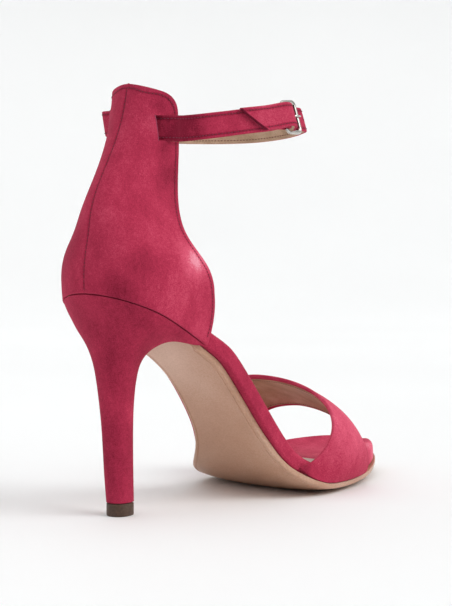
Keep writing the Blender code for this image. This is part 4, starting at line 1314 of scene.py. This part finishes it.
# %% [markdown]
# ### Slot and holes in the strap
# The prong passes through a slot in the fold and a hole in the strap, and a row of spare holes
# follows in front of the buckle. They are cut with a Boolean, so that they are real openings.

# %% Holes
HOLE_RADIUS = 0.85
HOLE_PITCH = 6.5
SPARE_HOLES = 3
FOLD_SLOT = (-BUCKLE_LENGTH / 2 + 1.4, 0.4, (5.0, 4.6, 2.4))  # along, outwards, size
PRONG_HOLE = (0, 0.8, (4.6, 3.6, 2.2))


def strap_cutter(block, holes=0):
    """A block beside the buckle and round pins through the strap in front of it."""
    along, out, size = block
    turned = np.column_stack(buckle_axes()) * size
    solids = [(bmesh.ops.create_cube, {"size": 1}, turned, buckle_point(along, out))]
    line = (STRAP_LOWER + STRAP_UPPER) / 2 - buckle_point(BUCKLE_LENGTH / 2, -2)
    front = STRAP_RUN[np.argmin(np.linalg.norm(line, axis=1))]
    pin = {"segments": 20, "radius1": HOLE_RADIUS, "radius2": HOLE_RADIUS, "depth": 6}
    for number in range(holes):
        middle, out = strap_surface(front - HOLE_PITCH * (number + 1.3), 0.0, 0.0)
        turn = np.array(Vector(out).to_track_quat("Z", "Y").to_matrix())
        solids.append((bmesh.ops.create_cone, {**pin, "cap_ends": True}, turn, middle))
    return cutter(solids)


# The slot and the hole overlap, so each is cut by itself
cut_out(strap, strap_cutter(FOLD_SLOT))
cut_out(strap, strap_cutter(PRONG_HOLE, SPARE_HOLES))
fit(strap, "suede", "ankle_strap")
strap_lining = make_strap_lining()
cut_out(strap_lining, strap_cutter(PRONG_HOLE, SPARE_HOLES))
fit(strap_lining, "sole_leather")
fit(make_tail_edge(), "suede")

# %% [markdown]
# ## Buckle
# The buckle is bent from nickel-plated wire. A wire follows a path, so one Geometry Nodes tree
# makes both the frame and the prong: edges become a curve, an attribute sets its thickness at each
# point, and a round profile is swept along it. The result is turned into a plain mesh.


# %% Wire tree
def tree_sockets(name, inputs):
    """A geometry tree with named inputs and one output."""
    tree = bpy.data.node_groups.new(name, "GeometryNodeTree")
    for label, kind in [("Geometry", "NodeSocketGeometry"), *inputs]:
        tree.interface.new_socket(label, in_out="INPUT", socket_type=kind)
    tree.interface.new_socket("Geometry", in_out="OUTPUT", socket_type="NodeSocketGeometry")
    return tree, node(tree, "NodeGroupInput").outputs


def kept_at_points(tree, name, kind):
    """An attribute of the mesh that the tree grows from."""
    return node(tree, "GeometryNodeInputNamedAttribute", {"Name": name}, data_type=kind).outputs[0]


def close_tree(tree, geometry, finish):
    """Smooth shading, plain geometry and the material, then the output."""
    smooth = node(tree, "GeometryNodeSetShadeSmooth", {"Geometry": geometry}).outputs[0]
    real = node(tree, "GeometryNodeRealizeInstances", {"Geometry": smooth}).outputs[0]
    dressed = node(tree, "GeometryNodeSetMaterial", {"Geometry": real, "Material": finish})
    node(tree, "NodeGroupOutput", {"Geometry": dressed.outputs[0]})
    return tree


def grown(name, points, edges, tree, settings, **attributes):
    """A piece grown by a tree from points in millimetres joined by edges, as a plain mesh."""
    made = shown(name, raw_mesh(name, points, edges, [], attributes))
    grow = made.modifiers.new("grow", "NODES")
    grow.node_group = tree
    for item in tree.interface.items_tree:
        if item.in_out == "INPUT" and item.name in settings:
            grow[item.identifier] = settings[item.name]
    settle(made)
    return made


def wire_tree():
    """A round wire along edges, as thick as the attribute "thickness" says."""
    inputs = [("Sides", "NodeSocketInt"), ("Metal", "NodeSocketMaterial")]
    tree, given = tree_sockets("wire_along_path", inputs)
    path = node(tree, "GeometryNodeMeshToCurve", {"Mesh": given["Geometry"]}).outputs["Curve"]
    thick = kept_at_points(tree, "thickness", "FLOAT")
    circle = {"Resolution": given["Sides"], "Radius": 1.0}
    ring = node(tree, "GeometryNodeCurvePrimitiveCircle", circle).outputs["Curve"]
    sweep = {"Curve": path, "Profile Curve": ring, "Scale": thick, "Fill Caps": True}
    swept = node(tree, "GeometryNodeCurveToMesh", sweep).outputs["Mesh"]
    return close_tree(tree, swept, given["Metal"])


# %% Buckle frame and prong
BUCKLE_CORNER = 1.9
BUCKLE_STOUTER = 0.45  # how much stouter the front bar is
PRONG_RADIUS = 0.6
PRONG_TAPER = 0.75
WIRE = wire_tree()
WIRE_SETTINGS = {"Sides": 24, "Metal": NICKEL}


def make_frame():
    places = []
    for corner, (ahead, up) in enumerate([(1, 1), (-1, 1), (-1, -1), (1, -1)]):
        for turn in np.linspace(0, math.pi / 2, 13) + corner * math.pi / 2:
            along = ahead * (BUCKLE_LENGTH / 2 - BUCKLE_CORNER) + BUCKLE_CORNER * math.cos(turn)
            rise = up * (BUCKLE_HEIGHT / 2 - BUCKLE_CORNER) + BUCKLE_CORNER * math.sin(turn)
            places.append(buckle_point(along, 0, rise))
    edges = [(i, (i + 1) % len(places)) for i in range(len(places))]
    ahead = (np.array(places) - BUCKLE_MIDDLE) @ buckle_axes()[0] / BUCKLE_LENGTH + 0.5
    thickness = BUCKLE_WIRE * MM * (1 + BUCKLE_STOUTER * np.clip(2 * ahead - 1, 0, 1))
    return grown("buckle_wire_frame", places, edges, WIRE, WIRE_SETTINGS, thickness=thickness)


def make_prong():
    front = BUCKLE_LENGTH / 2
    rest = BUCKLE_WIRE + GAP + PRONG_RADIUS
    start = rest - front
    route = [(start, 0.1), (start + 1.2, 0.3), (0.4, 1.2), (2.6, rest + 0.4)]
    route += [(front, rest), (front + 1.4, rest - 0.3)]
    fine = smooth_rows(np.array(route), np.linspace(0, len(route) - 1, 50))
    places = [buckle_point(*place) for place in fine]
    edges = [(i, i + 1) for i in range(len(places) - 1)]
    tip = np.minimum(1, np.sqrt(np.linspace(len(places), 0, len(places)) / 4) + 0.15)
    thickness = np.linspace(PRONG_RADIUS, PRONG_TAPER * PRONG_RADIUS, len(places)) * tip * MM
    return grown("buckle_wire_prong", places, edges, WIRE, WIRE_SETTINGS, thickness=thickness)


fit(make_frame(), "nickel", "buckle_frame")
fit(make_prong(), "nickel", "buckle_prong")


# %% [markdown]
# ## Stitches
# Stitches repeat along a path, so a second tree sets them: a line of edges is resampled at the
# stitch pitch, and a small grain of thread lies at each point, along the line and flat on the
# surface. Rows run along the edge of the counter, down its back seam, along both sides of the
# strap, outside and inside, and along both edges of the band's lining. The stitches are drawn a
# little thicker than real thread, so that they show.

# %% Stitch rows
STITCH_SIZES = {"Pitch": 1.6 * MM, "Length": 1.2 * MM, "Width": 0.5 * MM}
STITCH_LIFT = 0.1  # of the strap's rows, off its flat outside
LINING_ROW = 1.2  # from the edge of the band's lining to its row
ROW_ENDS = slice(4, -4)  # the band's rows stop short of its feet


def stitch_tree():
    labels = [(label, "NodeSocketFloat") for label in STITCH_SIZES]
    tree, given = tree_sockets("stitch_rows", [*labels, ("Thread", "NodeSocketMaterial")])
    path = node(tree, "GeometryNodeMeshToCurve", {"Mesh": given["Geometry"]}).outputs["Curve"]
    pitch = {"Curve": path, "Length": given["Pitch"]}
    spaced = node(tree, "GeometryNodeResampleCurve", pitch, mode="LENGTH").outputs["Curve"]
    tangent = node(tree, "GeometryNodeInputTangent").outputs["Tangent"]
    square = kept_at_points(tree, "square", "FLOAT_VECTOR")
    align = "FunctionNodeAlignRotationToVector"
    lie = node(tree, align, {"Vector": tangent}, axis="X").outputs["Rotation"]
    flat = node(tree, align, {"Rotation": lie, "Vector": square}, axis="Z", pivot_axis="X")
    ball = {"Segments": 8, "Rings": 5, "Radius": 0.5}
    bead = node(tree, "GeometryNodeMeshUVSphere", ball).outputs["Mesh"]
    scale = {"X": given["Length"], "Y": given["Width"], "Z": given["Width"]}
    size = node(tree, "ShaderNodeCombineXYZ", scale).outputs["Vector"]
    lay = {"Points": spaced, "Instance": bead, "Rotation": flat.outputs["Rotation"], "Scale": size}
    laid = node(tree, "GeometryNodeInstanceOnPoints", lay).outputs["Instances"]
    return close_tree(tree, laid, given["Thread"])


STITCHES = stitch_tree()


def sew(name, rows, finish):
    """Stitches along rows, each a pair of points and the surface's normals there."""
    points = np.concatenate([row for row, _ in rows])
    square = np.concatenate([normal for _, normal in rows])
    edges, first = [], 0
    for row, _ in rows:
        edges += [(first + i, first + i + 1) for i in range(len(row) - 1)]
        first += len(row)
    settings = {**STITCH_SIZES, "Thread": finish}
    fit(grown(name, points, edges, STITCHES, settings, square=square), "suede")


def strap_rows(side, off_fold, off_end):
    """The two rows on the strap's outside (1) or on its lining (-1)."""
    at = np.arange(FOLD_LENGTH + off_fold, STRAP_END - off_end, 1.0)
    lift = side * (strap_half(at) + (STITCH_LIFT if side > 0 else STRAP_LINING_PROUD))
    for across in (-STRAP_ROW, STRAP_ROW):
        points, out = strap_surface(at, np.full(len(at), across), lift)
        yield points, out * side


sew("counter_stitches", COUNTER_SEWN, THREAD)
sew("strap_stitches", list(strap_rows(1, 2, 2)), THREAD)
lined = inward(band_grid(TURNED_EDGE + LINING_ROW), WALL + BAND_LINING + 0.02)
rows = [(lined[row, ROW_ENDS], -outwards(lined)[row, ROW_ENDS]) for row in (0, -1)]
sew("band_lining_stitches", rows, LINING_THREAD)
sew("strap_lining_stitches", list(strap_rows(-1, 8, 6)), LINING_THREAD)

# %% [markdown]
# ## Studio
# A pale sweep of paper runs under the shoe and up behind it, so that no horizon shows. The sky
# gives even white light and a wide, distant lamp adds a soft direction to it, the same all over
# the paper. The camera stands where the photographer's did: low, behind the outer side of the
# heel.

# %% Floor, light and camera
CAMERA_PLACE = np.array([535.5, -514.5, 130.0])
CAMERA_AIM = np.array([-11.0, 108.0, 93.0])
PICTURE_HEIGHT = 606  # pixels
FOCAL_LENGTH = 1184  # pixels
CLOSER = 1.42  # the frame is drawn in to the one shoe
PAINTED_BACKGROUND_GLOW = 0.08  # painted light: the paper glows, more up its rise, in place of a lamp on it
GLOW_HEIGHT = 0.5  # metres, where the glow is full
SWEEP_AHEAD, SWEEP_BEHIND, SWEEP_HALF_WIDTH = 9000.0, 1500.0, 9000.0
SWEEP_RADIUS, SWEEP_TOP = 1200.0, 4000.0
SKY_LOW, SKY_HIGH = 0.26, 1.16
ROOM_LIGHT = 0.06
LAMP_WAY, LAMP_STRENGTH, LAMP_SPREAD = (-0.70, -0.24, -0.67), 1.15, 40


def make_floor():
    paper, tree = start_material("pale_paper_sweep")
    tone = grain(tree, 400, detail=1)
    place = node(tree, "ShaderNodeTexCoord").outputs["Object"]
    height = node(tree, "ShaderNodeSeparateXYZ", {"Vector": place}).outputs["Z"]
    glow = ranged(tree, height, 0.0, PAINTED_BACKGROUND_GLOW, end=GLOW_HEIGHT, kind="SMOOTHSTEP")
    finish_material(
        tree,
        Base_Color=shade(tree, tone, [(0.3, "#f3f4f4"), (0.7, "#f6f7f7")]),
        Roughness=0.75,
        Emission_Color=linear("#ffffff"),
        Emission_Strength=glow,
    )
    turn = np.linspace(0, math.pi / 2, 24)
    bend = SWEEP_BEHIND + SWEEP_RADIUS * np.sin(turn), SWEEP_RADIUS * (1 - np.cos(turn))
    profile = [(-SWEEP_AHEAD, 0.0), *zip(*bend), (SWEEP_BEHIND + SWEEP_RADIUS, SWEEP_TOP)]
    turned = unit((CAMERA_AIM - CAMERA_PLACE) * (1, 1, 0))
    side = np.array([turned[1], -turned[0], 0])
    ends = (-SWEEP_HALF_WIDTH, SWEEP_HALF_WIDTH)
    points = [turned * y + side * x + (0, 0, z) for y, z in profile for x in ends]
    made_floor = piece("paper_sweep", points, quads(len(profile), 2), paper)
    made_floor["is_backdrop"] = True


def soft_lamp(name, towards, strength, spread):
    """A distant lamp as wide as an angle in degrees, shining along a direction."""
    data = bpy.data.lights.new(name, "SUN")
    data.energy, data.angle = strength, math.radians(spread)
    lamp = shown(name, data)
    lamp.rotation_euler = Vector(towards).to_track_quat("-Z", "Y").to_euler()


def make_sky():
    """White light that is strongest overhead, with a dim room at the photographer's back."""
    sky = bpy.data.worlds.new("white_studio")
    sky.use_nodes = True
    tree = sky.node_tree
    towards = node(tree, "ShaderNodeTexCoord").outputs["Generated"]
    height = node(tree, "ShaderNodeSeparateXYZ", {"Vector": towards}).outputs["Z"]
    back = unit((CAMERA_PLACE - CAMERA_AIM) * (1, 1, 0))
    facing = node(tree, "ShaderNodeVectorMath", {0: towards, 1: back}, operation="DOT_PRODUCT")
    bright = ranged(tree, height, SKY_LOW, SKY_HIGH)
    dim = ranged(tree, facing.outputs["Value"], 1.0, ROOM_LIGHT, 0.7, 0.95, "SMOOTHSTEP")
    strength = node(tree, "ShaderNodeMath", {0: bright, 1: dim}, operation="MULTIPLY").outputs[0]
    background = tree.nodes["Background"]
    background.inputs["Color"].default_value = linear("#ffffff")
    tree.links.new(strength, background.inputs["Strength"])
    bpy.context.scene.world = sky


def make_camera():
    data = bpy.data.cameras.new("camera")
    data.sensor_width = 36
    data.lens = FOCAL_LENGTH * CLOSER / PICTURE_HEIGHT * data.sensor_width
    made = shown("camera", data)
    made.location = Vector(CAMERA_PLACE * MM + ORIGIN)
    aim = Vector(CAMERA_AIM * MM + ORIGIN)
    made.rotation_euler = (aim - made.location).to_track_quat("-Z", "Y").to_euler()
    bpy.context.scene.camera = made


make_floor()
soft_lamp("window_lamp", LAMP_WAY, LAMP_STRENGTH, LAMP_SPREAD)
make_camera()
make_sky()
bpy.context.scene.view_settings.view_transform = "Standard"
print("stage: floor, lamp, sky and camera")

# %% Compare the sizes
new_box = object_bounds()
growth = (new_box[1] - new_box[0]) - (cad_box[1] - cad_box[0])
print("grown by, mm:", [round(side / MM, 2) for side in growth])
